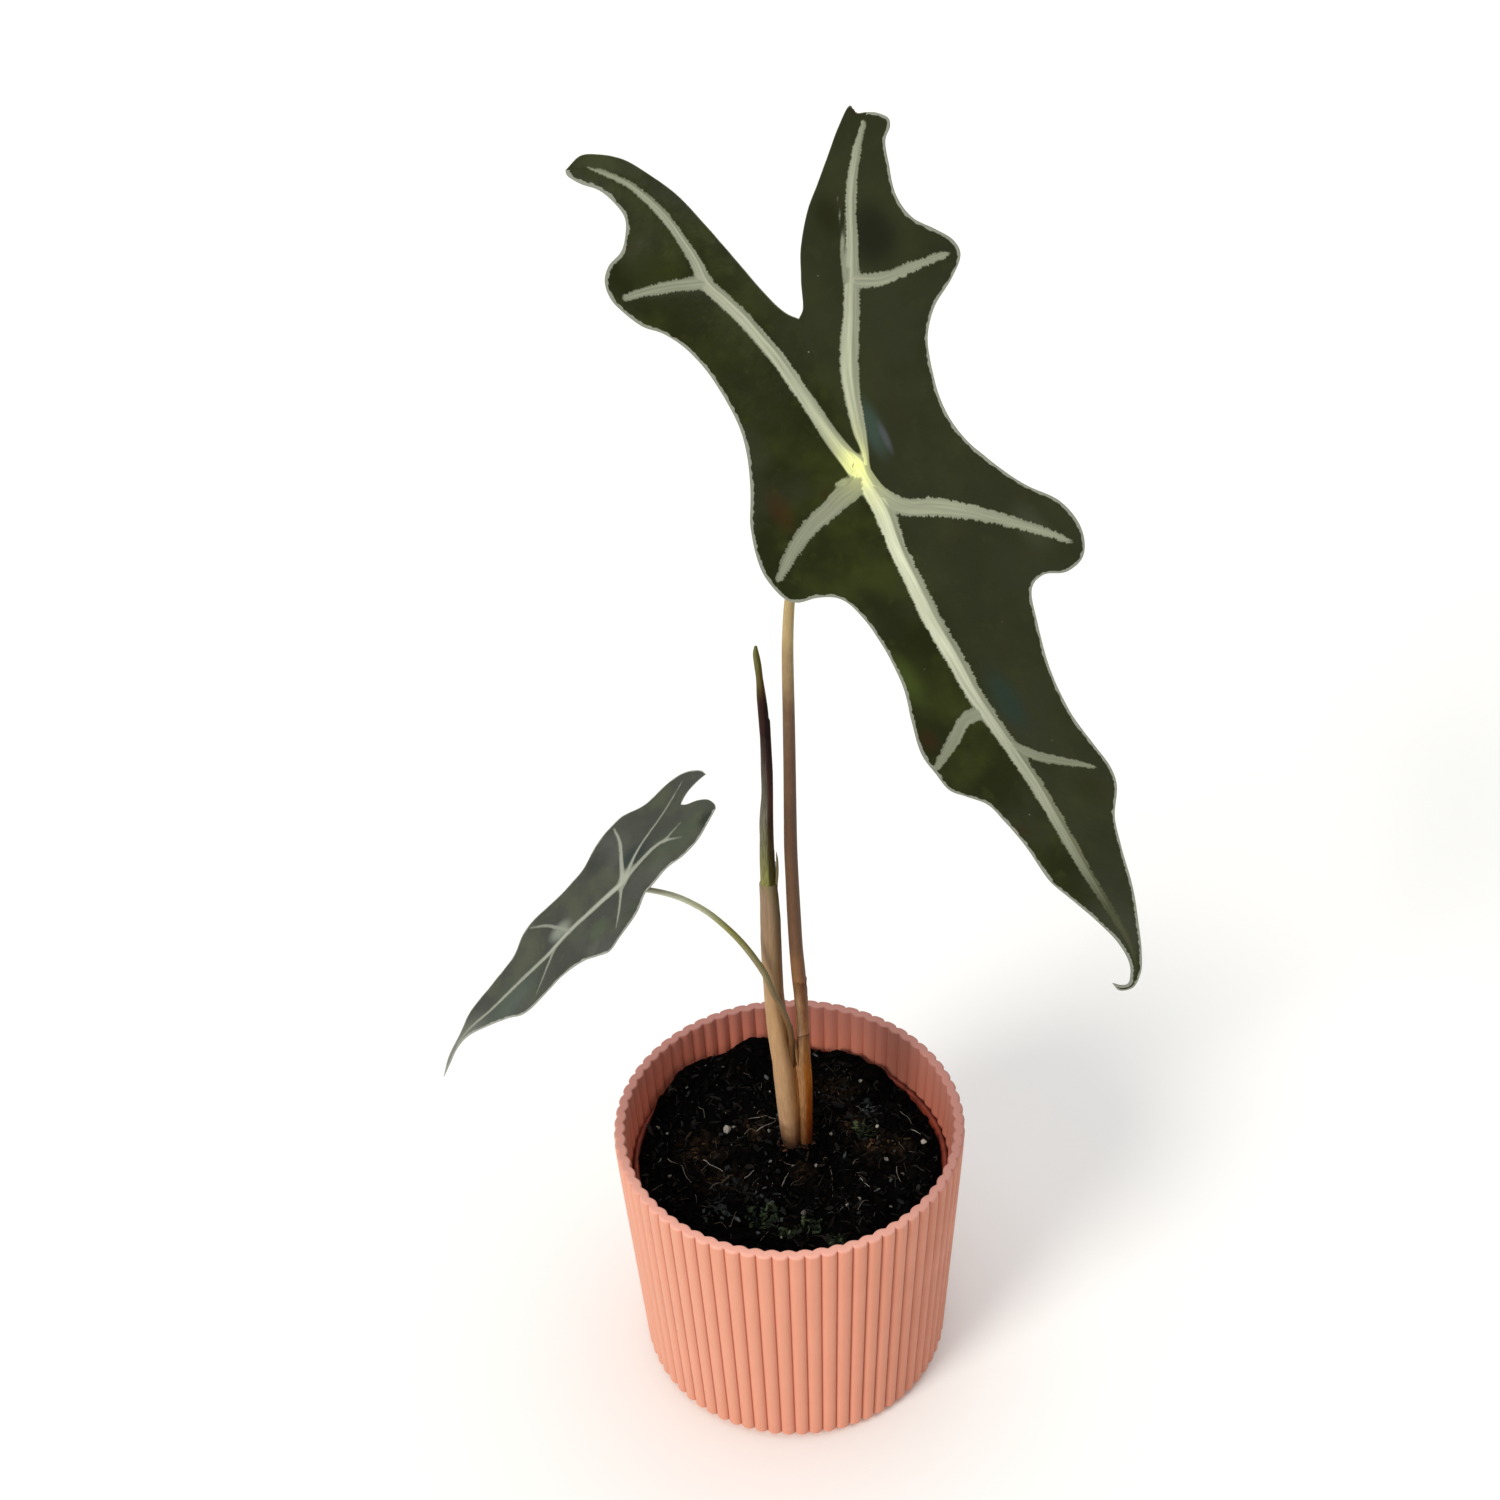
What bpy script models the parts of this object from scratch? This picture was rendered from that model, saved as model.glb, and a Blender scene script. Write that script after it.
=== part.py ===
"""Potted alocasia: a ribbed cover pot, a grower's pot, soil and the plant that stands in it.

Units are metres and +Z is up. The origin is the centre of the cover pot's flat base,
and the plant faces -Y.
"""
import math

import bmesh
import bpy
from mathutils import Vector

COLLECTION = "potted_alocasia"
MM = 0.001
GAP = 0.3                     # running gap between touching pieces

# Cover pot
POT_HEIGHT = 118.0
POT_RIM_RADIUS = 69.0         # rib crests at the rim
POT_WALL = 3.4
POT_FLOOR = 3.6
RIBS = 70
RIB_DEPTH = 1.5
STEPS_PER_RIB = 4

# Grower's pot and soil
NURSERY_RIM_RADIUS = 62.2
NURSERY_TOP = 96.0
NURSERY_WALL = 0.9
NURSERY_BASE_RADIUS = 46.0
NURSERY_BASE = POT_FLOOR + GAP
SOIL_LEVEL = 99.3
SOIL_EDGE = 91.0
SOIL_FALL = 4.3
SOIL_LEAN = 1.7
SOIL_RELIEF = 1.6
STEM_DEPTH = 14.0             # how far the stems reach down into the soil

# Leaves
BLADE_THICKNESS = 0.9
RUNGS_PER_MM = 0.24

# Stems: (x, y, z, radius) in mm, from the soil up
SHEATH_PATH = [(0.8, 4.2, 85.3, 2.7), (0.4, 4.0, 99, 3.1), (-0.3, 4, 108, 3.7), (-0.5, 4, 125, 4.15),
               (-1.2, 4, 147, 4.4), (-2.8, 4, 163, 4.1), (-3.8, 4, 178, 3.6), (-4.1, 4, 204, 3.2),
               (-4.3, 4, 235, 3.0)]
SPEAR_PATH = [(-4.2, 4, 224, 2.1), (-4.3, 4, 230, 2.1), (-4.3, 4, 235.5, 2.2), (-4.4, 4, 241, 2.5),
              (-4.2, 4, 256, 2.4), (-3.3, 4, 285, 1.9), (-3.7, 4, 302, 1.6), (-3.9, 4, 314, 1.4),
              (-4.3, 4, 327, 0.8), (-5.0, 4, 337, 0.35)]
LARGE_PETIOLE_PATH = [(6.4, 4.2, 85.3, 2.1), (6.6, 4, 99, 2.3), (7.1, 4, 124, 2.2), (7.3, 4, 146, 2.1),
                      (7.2, 4, 167, 2.0), (6.3, 4, 183, 2.05), (5.3, 4, 203, 2.2), (4.4, 4, 228, 2.15),
                      (4.1, 4, 256, 2.0), (4.6, 4, 285, 1.95), (4.9, 4, 316, 1.75), (5.3, 4, 340, 1.6),
                      (6.4, 4, 355, 1.55), (9.3, 3.2, 374, 1.5), (15.0, 0.0, 393, 1.5),
                      (22.4, -7.0, 409, 1.5), (26.6, -15.5, 416.2, 1.5), (27.1, -23.5, 418.1, 1.5)]
SMALL_PETIOLE_PATH = [(2.6, 0.9, 158, 0.8), (2.9, -0.3, 163, 1.05), (2.5, -1.6, 169, 1.1),
                      (-1.1, -2.2, 180, 1.1), (-4.3, -2.6, 188.4, 1.1), (-7.3, -3.2, 197.6, 1.05),
                      (-10.8, -4.0, 206, 1.05), (-15.2, -5.0, 215.4, 1.05), (-20.3, -6.0, 223.8, 1.05),
                      (-26.4, -7.0, 232.4, 1.05), (-32.4, -8.3, 239.3, 1.0), (-38.2, -9.5, 244.3, 1.0),
                      (-45.6, -11.0, 248.4, 1.0), (-51.0, -11.2, 249.6, 1.0), (-54.5, -11.5, 251.1, 1.0)]
DRY_SHEATH_PATH = [(7.1, 4, 130), (7.3, 4, 146), (7.2, 4, 167), (6.3, 4, 183), (5.9, 4, 190)]
DRY_SHEATH_RADIUS = [2.5, 2.55, 2.5, 2.5, 2.6]
DRY_SHEATH_WALL = 0.4

# Blades, flattened: (along the midrib from its hub, across to the viewer's right) in mm.
# Each half is lofted between its spine and its margin, and SEAMS pairs their points.
LARGE_LEAF = {
    "hub": (26.5, -25.0, 418.5), "turn": -24, "tilt": 10, "roll": 30.5,
    "arch_radius": 550, "fold": 0.16, "soft": 6, "wave": 4.0, "wave_at": 50, "wave_length": 92,
    "phases": (0.6, 2.2), "across": 4,
    "midrib": [(0, 0), (16, 2), (39, -1), (70.5, -1), (85, -1.5), (103, 2), (121, 3.5), (142, 3),
               (159.5, 2), (182, 0.5), (193, -1.5), (201, -5), (206.2, -9.5), (205.6, -12.7), (202.3, -14)],
    "left": {
        "vein": [(-113, -45.5), (-109, -36), (-101, -28.5), (-89.5, -23), (-77.5, -21), (-68, -20.5),
                 (-51, -10.5), (-32.5, -6), (-11, -3), (0, 0)],
        "outer": [(-113, -45.5), (-111.5, -45.5), (-107.5, -42.5), (-103.5, -38), (-98, -35), (-93, -34),
                  (-88, -36.5), (-85, -39.5), (-83, -44.5), (-79.5, -48), (-74.5, -49), (-69.5, -47.5),
                  (-63.5, -43.5), (-59, -37.5), (-53.5, -33), (-45, -28.5), (-35, -26), (-25, -26),
                  (-18, -26.5), (-8, -30), (4, -36.5), (16.5, -40), (21, -41.5), (28.5, -40), (31, -37),
                  (32, -30.5), (34.5, -24.5), (38.5, -21.5), (46, -19.5), (57, -18.5), (68, -19),
                  (80, -22), (91.5, -24.5), (99.5, -24), (107.5, -23), (111.5, -19.5), (117, -15),
                  (126.5, -13), (139.5, -11.5), (152, -11), (165, -7.5), (176.5, -5), (186, -3.8),
                  (194.5, -4.4), (200.2, -6.4), (205.1, -9.9), (204.7, -11.9), (202.3, -14)],
        "inner": [(-113, -45.5), (-115, -40), (-113, -34.5), (-108.5, -28), (-100, -21.5), (-92.5, -17),
                  (-81, -12.5), (-68, -8), (-56.5, -4), (-49, -0.5), (-46, 2.5)],
        "outer_seams": [(0, 0), (3, 4), (5, 10), (7, 16), (9, 20), (10, 24), (11, 28), (13, 33), (16, 40),
                        (19, 43), (23, 47)],
        "inner_seams": [(0, 0), (2, 3), (5, 7), (9, 10)],
    },
    "right": {
        "vein": [(-87, 49.5), (-84.5, 47.5), (-80, 43), (-70.5, 35.5), (-59.5, 29.5), (-49.5, 24),
                 (-40, 18.5), (-28, 11.5), (-14, 6), (0, 0)],
        "outer": [(-87, 49.5), (-85.5, 52.5), (-82.5, 55.5), (-80.5, 55), (-78, 52), (-72, 50), (-64, 48),
                  (-57, 49.5), (-51.5, 54), (-47, 57), (-43, 57), (-38, 51.5), (-33, 43.5), (-27, 38.5),
                  (-20, 36), (-7.5, 34.5), (2.5, 36.5), (11, 41.5), (21.5, 49), (29, 56), (37, 57.5),
                  (44.5, 55.5), (49, 52), (51, 46), (49.5, 40), (51, 35.5), (54, 33), (64.5, 30), (79, 27),
                  (94, 26.5), (106, 28.5), (114.5, 29.5), (122, 28), (134.5, 21), (145.5, 17.5),
                  (165.5, 12), (181.5, 6), (192.5, 1.5), (202, -3.5), (207.5, -9.3), (206.6, -13.6),
                  (202.3, -14)],
        "inner": [(-87, 49.5), (-88.5, 46), (-91, 45), (-87.5, 39), (-83, 33.5), (-77, 26), (-72, 19.5),
                  (-63, 12), (-56, 8.5), (-48, 5), (-46, 2.5)],
        "outer_seams": [(0, 0), (3, 6), (5, 9), (7, 13), (9, 16), (10, 20), (11, 26), (13, 31), (16, 34),
                        (19, 37), (23, 41)],
        "inner_seams": [(0, 0), (3, 5), (5, 7), (9, 10)],
    },
}
SMALL_LEAF = {
    "hub": (-55.5, -12.0, 252.5), "turn": -60, "tilt": 52, "roll": -9,
    "arch_radius": 450, "fold": 0.16, "soft": 4, "wave": 2.0, "wave_at": 22, "wave_length": 46,
    "phases": (0.3, 1.7), "across": 3,
    "midrib": [(0, 0), (14, -0.5), (27, -1), (37.5, -0.5), (51.5, -1.5), (68, -3), (79.5, -5), (88, -5),
               (94, -3.2), (100, -0.5)],
    "left": {
        "vein": [(-46.5, -11.5), (-37.5, -16), (-32.5, -14), (-24, -10), (-11, -6.5), (0, 0)],
        "outer": [(-46.5, -11.5), (-46, -13.5), (-42.5, -16.5), (-38, -18.5), (-30.5, -20), (-22, -20),
                  (-14, -21.5), (-8.5, -20.5), (0, -18.5), (9, -16), (16.5, -16), (28, -16), (36, -15.5),
                  (42, -14), (49, -11), (61.5, -10.5), (76, -10), (84.5, -7), (95, -4), (100, -0.5)],
        "inner": [(-46.5, -11.5), (-43, -11.5), (-38, -11), (-35, -10), (-33, -9)],
        "outer_seams": [(0, 0), (1, 3), (3, 5), (5, 8), (7, 12), (9, 14), (12, 17), (14, 19)],
        "inner_seams": [(0, 0), (2, 2), (5, 4)],
    },
    "right": {
        "vein": [(-42.5, 2.5), (-36, 1.5), (-29, 0), (-20, -1.5), (-8, -1.5), (0, 0)],
        "outer": [(-42.5, 2.5), (-38, 5.5), (-31.5, 9.5), (-25, 10.5), (-17, 9.5), (-9.5, 11), (-5.5, 12),
                  (-0.5, 17), (7.5, 22), (13.5, 24), (20.5, 19), (26, 15), (35.5, 12.5), (43, 13),
                  (51.5, 13.5), (56.5, 12), (63.5, 6.5), (73.5, 0.5), (83, -3.6), (89.5, -3.7), (94.5, -2.2),
                  (100, -0.5)],
        "inner": [(-42.5, 2.5), (-43, 0.5), (-42, -3), (-39, -5.5), (-34.5, -7.5), (-33, -9)],
        "outer_seams": [(0, 0), (1, 1), (3, 4), (5, 7), (7, 12), (9, 15), (12, 19), (14, 21)],
        "inner_seams": [(0, 0), (2, 3), (5, 5)],
    },
}


def clear_scene():
    for obj in list(bpy.data.objects):
        bpy.data.objects.remove(obj, do_unlink=True)


def make_collection(name):
    group = bpy.data.collections.new(name)
    bpy.context.scene.collection.children.link(group)
    return group


def material(name, rgb, roughness):
    """A plain Principled material in linear colour."""
    mat = bpy.data.materials.new(name)
    mat.use_nodes = True
    shader = mat.node_tree.nodes["Principled BSDF"]
    shader.inputs["Base Color"].default_value = (*rgb, 1.0)
    shader.inputs["Roughness"].default_value = roughness
    mat.diffuse_color = (*rgb, 1.0)
    return mat


def object_from(bm, name, mat, group):
    mesh = bpy.data.meshes.new(name)
    bm.to_mesh(mesh)
    bm.free()
    mesh.materials.append(mat)
    obj = bpy.data.objects.new(name, mesh)
    group.objects.link(obj)
    return obj


def smooth(obj, angle=40):
    obj.data.shade_smooth()
    obj.data.set_sharp_from_angle(angle=math.radians(angle))


def curve_point(points, t):
    """Point of the centripetal Catmull-Rom spline through points, at index t."""
    last = len(points) - 1
    i = min(int(t), last - 1)
    f = t - i
    b, c = Vector(points[i]), Vector(points[i + 1])
    a = Vector(points[i - 1]) if i > 0 else b * 2 - c
    d = Vector(points[i + 2]) if i + 2 <= last else c * 2 - b
    k = [0.0]
    for p, q in ((a, b), (b, c), (c, d)):
        k.append(k[-1] + max(math.sqrt((q - p).length), 1e-4))
    x = k[1] + f * (k[2] - k[1])
    a1 = a.lerp(b, (x - k[0]) / (k[1] - k[0]))
    a2 = b.lerp(c, (x - k[1]) / (k[2] - k[1]))
    a3 = c.lerp(d, (x - k[2]) / (k[3] - k[2]))
    b1 = a1.lerp(a2, (x - k[0]) / (k[2] - k[0]))
    b2 = a2.lerp(a3, (x - k[1]) / (k[3] - k[1]))
    return b1.lerp(b2, (x - k[1]) / (k[2] - k[1]))


def length_between(points, start, end, samples=12):
    stops = [curve_point(points, start + (end - start) * n / samples) for n in range(samples + 1)]
    return sum((q - p).length for p, q in zip(stops, stops[1:]))


# ---------------------------------------------------------------- pots and soil

def rib_crest(angle):
    return abs(math.cos(RIBS * angle / 2))


def outer_radius(radius, depth, angle):
    return radius - depth * (1 - rib_crest(angle))


def inner_radius(radius, depth, angle):
    return radius - depth * math.sqrt(1 - rib_crest(angle) ** 2)


def build_cover_pot(group):
    """Tapered cup whose thin wall is corrugated on both faces."""
    rim, wall, depth = POT_RIM_RADIUS, POT_WALL, RIB_DEPTH
    rings = [(outer_radius, 60.3, 0.0, 0.4), (outer_radius, 63.1, 3.5, depth),
             (outer_radius, rim, POT_HEIGHT - 1.2, depth), (outer_radius, rim - 0.9, POT_HEIGHT, depth * 0.9),
             (inner_radius, rim - wall + 0.8, POT_HEIGHT, depth * 0.9),
             (inner_radius, rim - wall, POT_HEIGHT - 1.2, depth),
             (inner_radius, 59.9, 6.5, depth), (inner_radius, 57.5, POT_FLOOR, 0.4)]
    bm = bmesh.new()
    count = RIBS * STEPS_PER_RIB
    first = bmesh.ops.create_circle(bm, cap_ends=True, segments=count, radius=1.0)["verts"]
    ring = first
    edges = [e for e in bm.edges]
    for n, (profile, radius, height, groove) in enumerate(rings):
        if n:
            grown = bmesh.ops.extrude_edge_only(bm, edges=edges)["geom"]
            ring = [g for g in grown if isinstance(g, bmesh.types.BMVert)]
            edges = [g for g in grown if isinstance(g, bmesh.types.BMEdge)]
        for vert in ring:
            angle = math.atan2(vert.co.x, -vert.co.y)
            r = profile(radius, groove, angle)
            vert.co = Vector((r * math.sin(angle), -r * math.cos(angle), height)) * MM
    bmesh.ops.edgeloop_fill(bm, edges=edges)
    bmesh.ops.recalc_face_normals(bm, faces=bm.faces)
    mat = material("salmon_plastic", (0.78, 0.36, 0.26), 0.55)
    smooth(object_from(bm, "cover_pot", mat, group), 35)


def turned(name, profile, steps, mat, group):
    """Turned solid from a profile that runs from the axis out and back to it."""
    bm = bmesh.new()
    verts = [bm.verts.new((r * MM, 0.0, z * MM)) for r, z in profile]
    for a, b in zip(verts, verts[1:]):
        bm.edges.new((a, b))
    obj = object_from(bm, name, mat, group)
    screw = obj.modifiers.new("turn", "SCREW")
    screw.axis = "Z"
    screw.steps = steps
    screw.render_steps = steps
    screw.use_merge_vertices = True
    screw.merge_threshold = 0.00005
    smooth(obj)
    return obj


def build_nursery_pot(group):
    rim, top, wall, foot, base = (NURSERY_RIM_RADIUS, NURSERY_TOP, NURSERY_WALL, NURSERY_BASE_RADIUS,
                                  NURSERY_BASE)
    profile = [(0, base + wall), (foot - wall, base + wall), (rim - 1 - wall, top), (rim, top),
               (rim, top - 6), (rim - 1.2, top - 6), (foot, base), (0, base)]
    turned("nursery_pot", profile, 56, material("terracotta_plastic", (0.20, 0.065, 0.035), 0.5), group)


def soil_radius(height):
    """Inside radius of the grower's pot at a height, less the gap."""
    low = NURSERY_BASE + NURSERY_WALL
    share = (height - low) / (NURSERY_TOP - low)
    return NURSERY_BASE_RADIUS + share * (NURSERY_RIM_RADIUS - 1 - NURSERY_BASE_RADIUS) - NURSERY_WALL - 0.5


def soil_height(x, y):
    """Uneven top of the soil: a low mound around the stems that falls off most on the right."""
    r = math.hypot(x, y)
    lumps = math.sin(x / 7.3 + 1.2) * math.cos(y / 8.1) + 0.6 * math.sin((x - y) / 4.9 + 0.5)
    mound = SOIL_LEVEL - SOIL_FALL * (r / 59) ** 2 - SOIL_LEAN * x * r / 59 ** 2
    return mound + SOIL_RELIEF * (0.45 * lumps * min(r / 14, 1))


def build_soil(group, cutters):
    low = NURSERY_BASE + NURSERY_WALL + GAP
    bm = bmesh.new()
    bmesh.ops.create_circle(bm, cap_ends=True, segments=40, radius=soil_radius(low) * MM)
    bmesh.ops.translate(bm, verts=bm.verts, vec=(0, 0, low * MM))
    edges = [e for e in bm.edges]
    for share in (1.0, 0.86, 0.68, 0.5, 0.34):
        grown = bmesh.ops.extrude_edge_only(bm, edges=edges)["geom"]
        edges = [g for g in grown if isinstance(g, bmesh.types.BMEdge)]
        for vert in [g for g in grown if isinstance(g, bmesh.types.BMVert)]:
            angle = math.atan2(vert.co.y, vert.co.x)
            r = (soil_radius(SOIL_EDGE) - 0.1) * share
            x, y = r * math.cos(angle), r * math.sin(angle)
            vert.co = Vector((x, y, soil_height(x, y))) * MM
    bmesh.ops.edgeloop_fill(bm, edges=edges)
    bmesh.ops.recalc_face_normals(bm, faces=bm.faces)
    soil = object_from(bm, "soil", material("peat_soil", (0.012, 0.010, 0.008), 0.95), group)
    for n, path in enumerate((SHEATH_PATH, LARGE_PETIOLE_PATH)):
        x, y, z, r = path[0]
        bm = bmesh.new()
        bmesh.ops.create_cone(bm, cap_ends=True, segments=20, radius1=(r + 0.9) * MM, radius2=(r + 1.6) * MM,
                              depth=0.024)
        place = Vector((x, y, z - GAP)) * MM + Vector((0, 0, 0.012))
        bmesh.ops.translate(bm, verts=bm.verts, vec=place)
        cutter = object_from(bm, "stem_hole_%d" % n, soil.data.materials[0], cutters)
        cutter.hide_render = True
        cutter.display_type = "WIRE"
        cut = soil.modifiers.new("stem hole %d" % n, "BOOLEAN")
        cut.operation = "DIFFERENCE"
        cut.solver = "EXACT"
        cut.object = cutter


# ---------------------------------------------------------------- stems

def tube(name, path, mat, group, spacing=6.0):
    """Capped round tube along (x, y, z, radius) points, as a POLY curve."""
    count = max(int(length_between(path, 0, len(path) - 1, 60) / spacing), 8)
    curve = bpy.data.curves.new(name, "CURVE")
    curve.dimensions = "3D"
    curve.bevel_depth = MM
    curve.bevel_resolution = 3
    curve.use_fill_caps = True
    spline = curve.splines.new("POLY")
    spline.points.add(count)
    for n, point in enumerate(spline.points):
        x, y, z, r = curve_point(path, (len(path) - 1) * n / count)
        point.co = (x * MM, y * MM, z * MM, 1.0)
        point.radius = r
    obj = bpy.data.objects.new(name, curve)
    group.objects.link(obj)
    curve.materials.append(mat)
    return obj


def curve_to_mesh(obj, group):
    """The curve's solid as a mesh object with its caps welded."""
    evaluated = obj.evaluated_get(bpy.context.evaluated_depsgraph_get())
    mesh = bpy.data.meshes.new_from_object(evaluated)
    bm = bmesh.new()
    bm.from_mesh(mesh)
    bmesh.ops.remove_doubles(bm, verts=bm.verts, dist=0.00001)
    bm.to_mesh(mesh)
    bm.free()
    name, place = obj.name, obj.matrix_world.copy()
    bpy.data.objects.remove(obj, do_unlink=True)
    solid = bpy.data.objects.new(name, mesh)
    solid.matrix_world = place
    group.objects.link(solid)
    return solid


def build_stems(group, cutters):
    tan = material("tan_sheath", (0.52, 0.33, 0.18), 0.6)
    sheath = tube("stem_sheath", SHEATH_PATH, tan, group)
    bpy.context.view_layer.update()
    sheath = curve_to_mesh(sheath, group)
    x, y, z, r = SPEAR_PATH[0]
    bm = bmesh.new()
    bmesh.ops.create_cone(bm, cap_ends=True, segments=20, radius1=(r + 0.4) * MM, radius2=(r + 0.45) * MM,
                          depth=0.014)
    bmesh.ops.translate(bm, verts=bm.verts, vec=Vector((x, y, z - GAP + 7)) * MM)
    socket = object_from(bm, "spear_socket", tan, cutters)
    socket.hide_render = True
    socket.display_type = "WIRE"
    cut = sheath.modifiers.new("socket", "BOOLEAN")
    cut.operation = "DIFFERENCE"
    cut.solver = "EXACT"
    cut.object = socket
    purple = material("purple_leaf", (0.06, 0.03, 0.03), 0.5)
    mauve = material("mauve_stem", (0.22, 0.12, 0.08), 0.5)
    olive = material("olive_stem", (0.22, 0.22, 0.07), 0.5)
    tube("leaf_spear", SPEAR_PATH, purple, group, 5.0)
    tube("large_leaf_petiole", LARGE_PETIOLE_PATH, mauve, group, 8.0)
    tube("small_leaf_petiole", SMALL_PETIOLE_PATH, olive, group, 4.0)


def build_dry_sheath(group):
    """Papery open wrap around the front of the large petiole's foot."""
    bm = bmesh.new()
    bmesh.ops.create_grid(bm, x_segments=8, y_segments=10, size=0.5)
    for vert in bm.verts:
        t = (vert.co.y + 0.5) * (len(DRY_SHEATH_PATH) - 1)
        angle = math.radians(-35 + 190 * (vert.co.x + 0.5))
        x, y, z = curve_point(DRY_SHEATH_PATH, t)
        i = min(int(t), len(DRY_SHEATH_RADIUS) - 2)
        r = DRY_SHEATH_RADIUS[i] + (t - i) * (DRY_SHEATH_RADIUS[i + 1] - DRY_SHEATH_RADIUS[i])
        vert.co = Vector((x + r * math.sin(angle), y - r * math.cos(angle), z)) * MM
    bmesh.ops.recalc_face_normals(bm, faces=bm.faces)
    obj = object_from(bm, "dry_sheath", material("dry_sheath", (0.36, 0.17, 0.07), 0.7), group)
    shell = obj.modifiers.new("shell", "SOLIDIFY")
    shell.thickness = DRY_SHEATH_WALL * MM
    shell.offset = 1.0
    smooth(obj)


# ---------------------------------------------------------------- leaves

def leaf_frame(leaf):
    """Unit vectors of the blade at its hub: along the midrib, across it and out of its upper face."""
    a, b, c = (math.radians(leaf[key]) for key in ("turn", "tilt", "roll"))
    out = Vector((math.sin(a) * math.cos(b), -math.cos(a) * math.cos(b), math.sin(b)))
    level = Vector((math.cos(a), math.sin(a), 0.0))
    along = level.cross(out) * math.cos(c) + level * math.sin(c)
    return along, out.cross(along), out


def leaf_point(leaf, frame, u, v):
    """Place a point of the flat blade on its arched, folded and waved surface."""
    along, across, out = frame
    radius = leaf["arch_radius"]
    bend = u / radius
    phase = leaf["phases"][0] if v > 0 else leaf["phases"][1]
    lift = leaf["fold"] * (math.hypot(v, leaf["soft"]) - leaf["soft"])
    lift += leaf["wave"] * (v / leaf["wave_at"]) ** 2 * math.sin(math.tau * u / leaf["wave_length"] + phase)
    point = Vector(leaf["hub"]) + along * (math.sin(bend) * radius) - out * ((1 - math.cos(bend)) * radius)
    point += across * v + (out * math.cos(bend) + along * math.sin(bend)) * lift
    return point * MM


def paired(seams, s):
    """Index on the margin that faces index s on the spine."""
    for (s0, m0), (s1, m1) in zip(seams, seams[1:]):
        if s <= s1:
            return m0 + (m1 - m0) * (s - s0) / (s1 - s0)
    return seams[-1][1]


def seams_below(seams, hub):
    """The seams from the hub to the tip, counted from the hub."""
    return [(s - hub, m) for s, m in seams if s >= hub]


def spine_stops(spine, margins, end, samples=240):
    """Indices along the spine, spaced evenly by the longest of the spine and its margins."""
    marks = [end * n / samples for n in range(samples + 1)]
    rails = [[curve_point(spine, s) for s in marks]]
    for margin, seams in margins:
        rails.append([curve_point(margin, paired(seams, s)) for s in marks])
    travelled = [0.0]
    for n in range(samples):
        travelled.append(travelled[-1] + max((rail[n + 1] - rail[n]).length for rail in rails))
    rungs = max(round(travelled[-1] * RUNGS_PER_MM), 6)
    stops = []
    n = 0
    for rung in range(rungs + 1):
        aim = travelled[-1] * rung / rungs
        while n < samples - 1 and travelled[n + 1] < aim:
            n += 1
        step = travelled[n + 1] - travelled[n]
        stops.append(marks[n] + (marks[n + 1] - marks[n]) * min((aim - travelled[n]) / step, 1.0))
    return stops


def add_strip(bm, leaf, frame, spine, margin, seams, stops, across):
    """Loft one strip of the blade between its spine and its margin."""
    rows = len(stops) - 1
    grid = bmesh.ops.create_grid(bm, x_segments=across, y_segments=rows, size=0.5)["verts"]
    for vert in grid:
        stop = stops[round((vert.co.y + 0.5) * rows)]
        inside = curve_point(spine, stop)
        edge = curve_point(margin, paired(seams, stop))
        u, v = inside.lerp(edge, vert.co.x + 0.5)
        vert.co = leaf_point(leaf, frame, u, v)


def build_leaf(name, leaf, mat, group):
    frame = leaf_frame(leaf)
    left, right = leaf["left"], leaf["right"]
    hub = len(left["vein"]) - 1
    midrib = leaf["midrib"]
    below = [(half["outer"], seams_below(half["outer_seams"], hub)) for half in (left, right)]
    midrib_stops = spine_stops(midrib, below, len(midrib) - 1)
    bm = bmesh.new()
    for half, (margin, seams) in zip((left, right), below):
        vein = half["vein"]
        outer = (half["outer"], half["outer_seams"])
        inner = (half["inner"], half["inner_seams"])
        vein_stops = spine_stops(vein, [outer, inner], hub)
        add_strip(bm, leaf, frame, vein, *outer, vein_stops, leaf["across"])
        add_strip(bm, leaf, frame, vein, *inner, vein_stops, leaf["across"] - 1)
        add_strip(bm, leaf, frame, midrib, margin, seams, midrib_stops, leaf["across"])
    bmesh.ops.remove_doubles(bm, verts=bm.verts, dist=0.00012)
    bmesh.ops.recalc_face_normals(bm, faces=bm.faces)
    if sum(face.normal.dot(frame[2]) for face in bm.faces) < 0:
        bmesh.ops.reverse_faces(bm, faces=bm.faces)
    obj = object_from(bm, name, mat, group)
    shell = obj.modifiers.new("blade", "SOLIDIFY")
    shell.thickness = BLADE_THICKNESS * MM
    shell.offset = -1.0
    smooth(obj, 60)


def main():
    clear_scene()
    group = make_collection(COLLECTION)
    cutters = make_collection("cutters")
    build_cover_pot(group)
    build_nursery_pot(group)
    build_soil(group, cutters)
    build_stems(group, cutters)
    build_dry_sheath(group)
    build_leaf("large_leaf", LARGE_LEAF, material("dark_leaf", (0.030, 0.037, 0.015), 0.45), group)
    build_leaf("small_leaf", SMALL_LEAF, material("grey_leaf", (0.060, 0.072, 0.048), 0.45), group)


main()
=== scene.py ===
"""Potted alocasia: the surfaces of the plant, its soil and its two pots.

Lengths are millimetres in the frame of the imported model: +Z up, the origin at the centre of the
cover pot's underside, and the plant facing -Y. Meshes are written in metres, at the origin.
"""

import logging
import math
import random
from collections.abc import Callable, Iterable, Sequence
from dataclasses import dataclass, field
from enum import Enum

import bmesh
import bpy
import numpy as np
from mathutils import Matrix, Vector, noise
from mathutils.kdtree import KDTree


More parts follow.
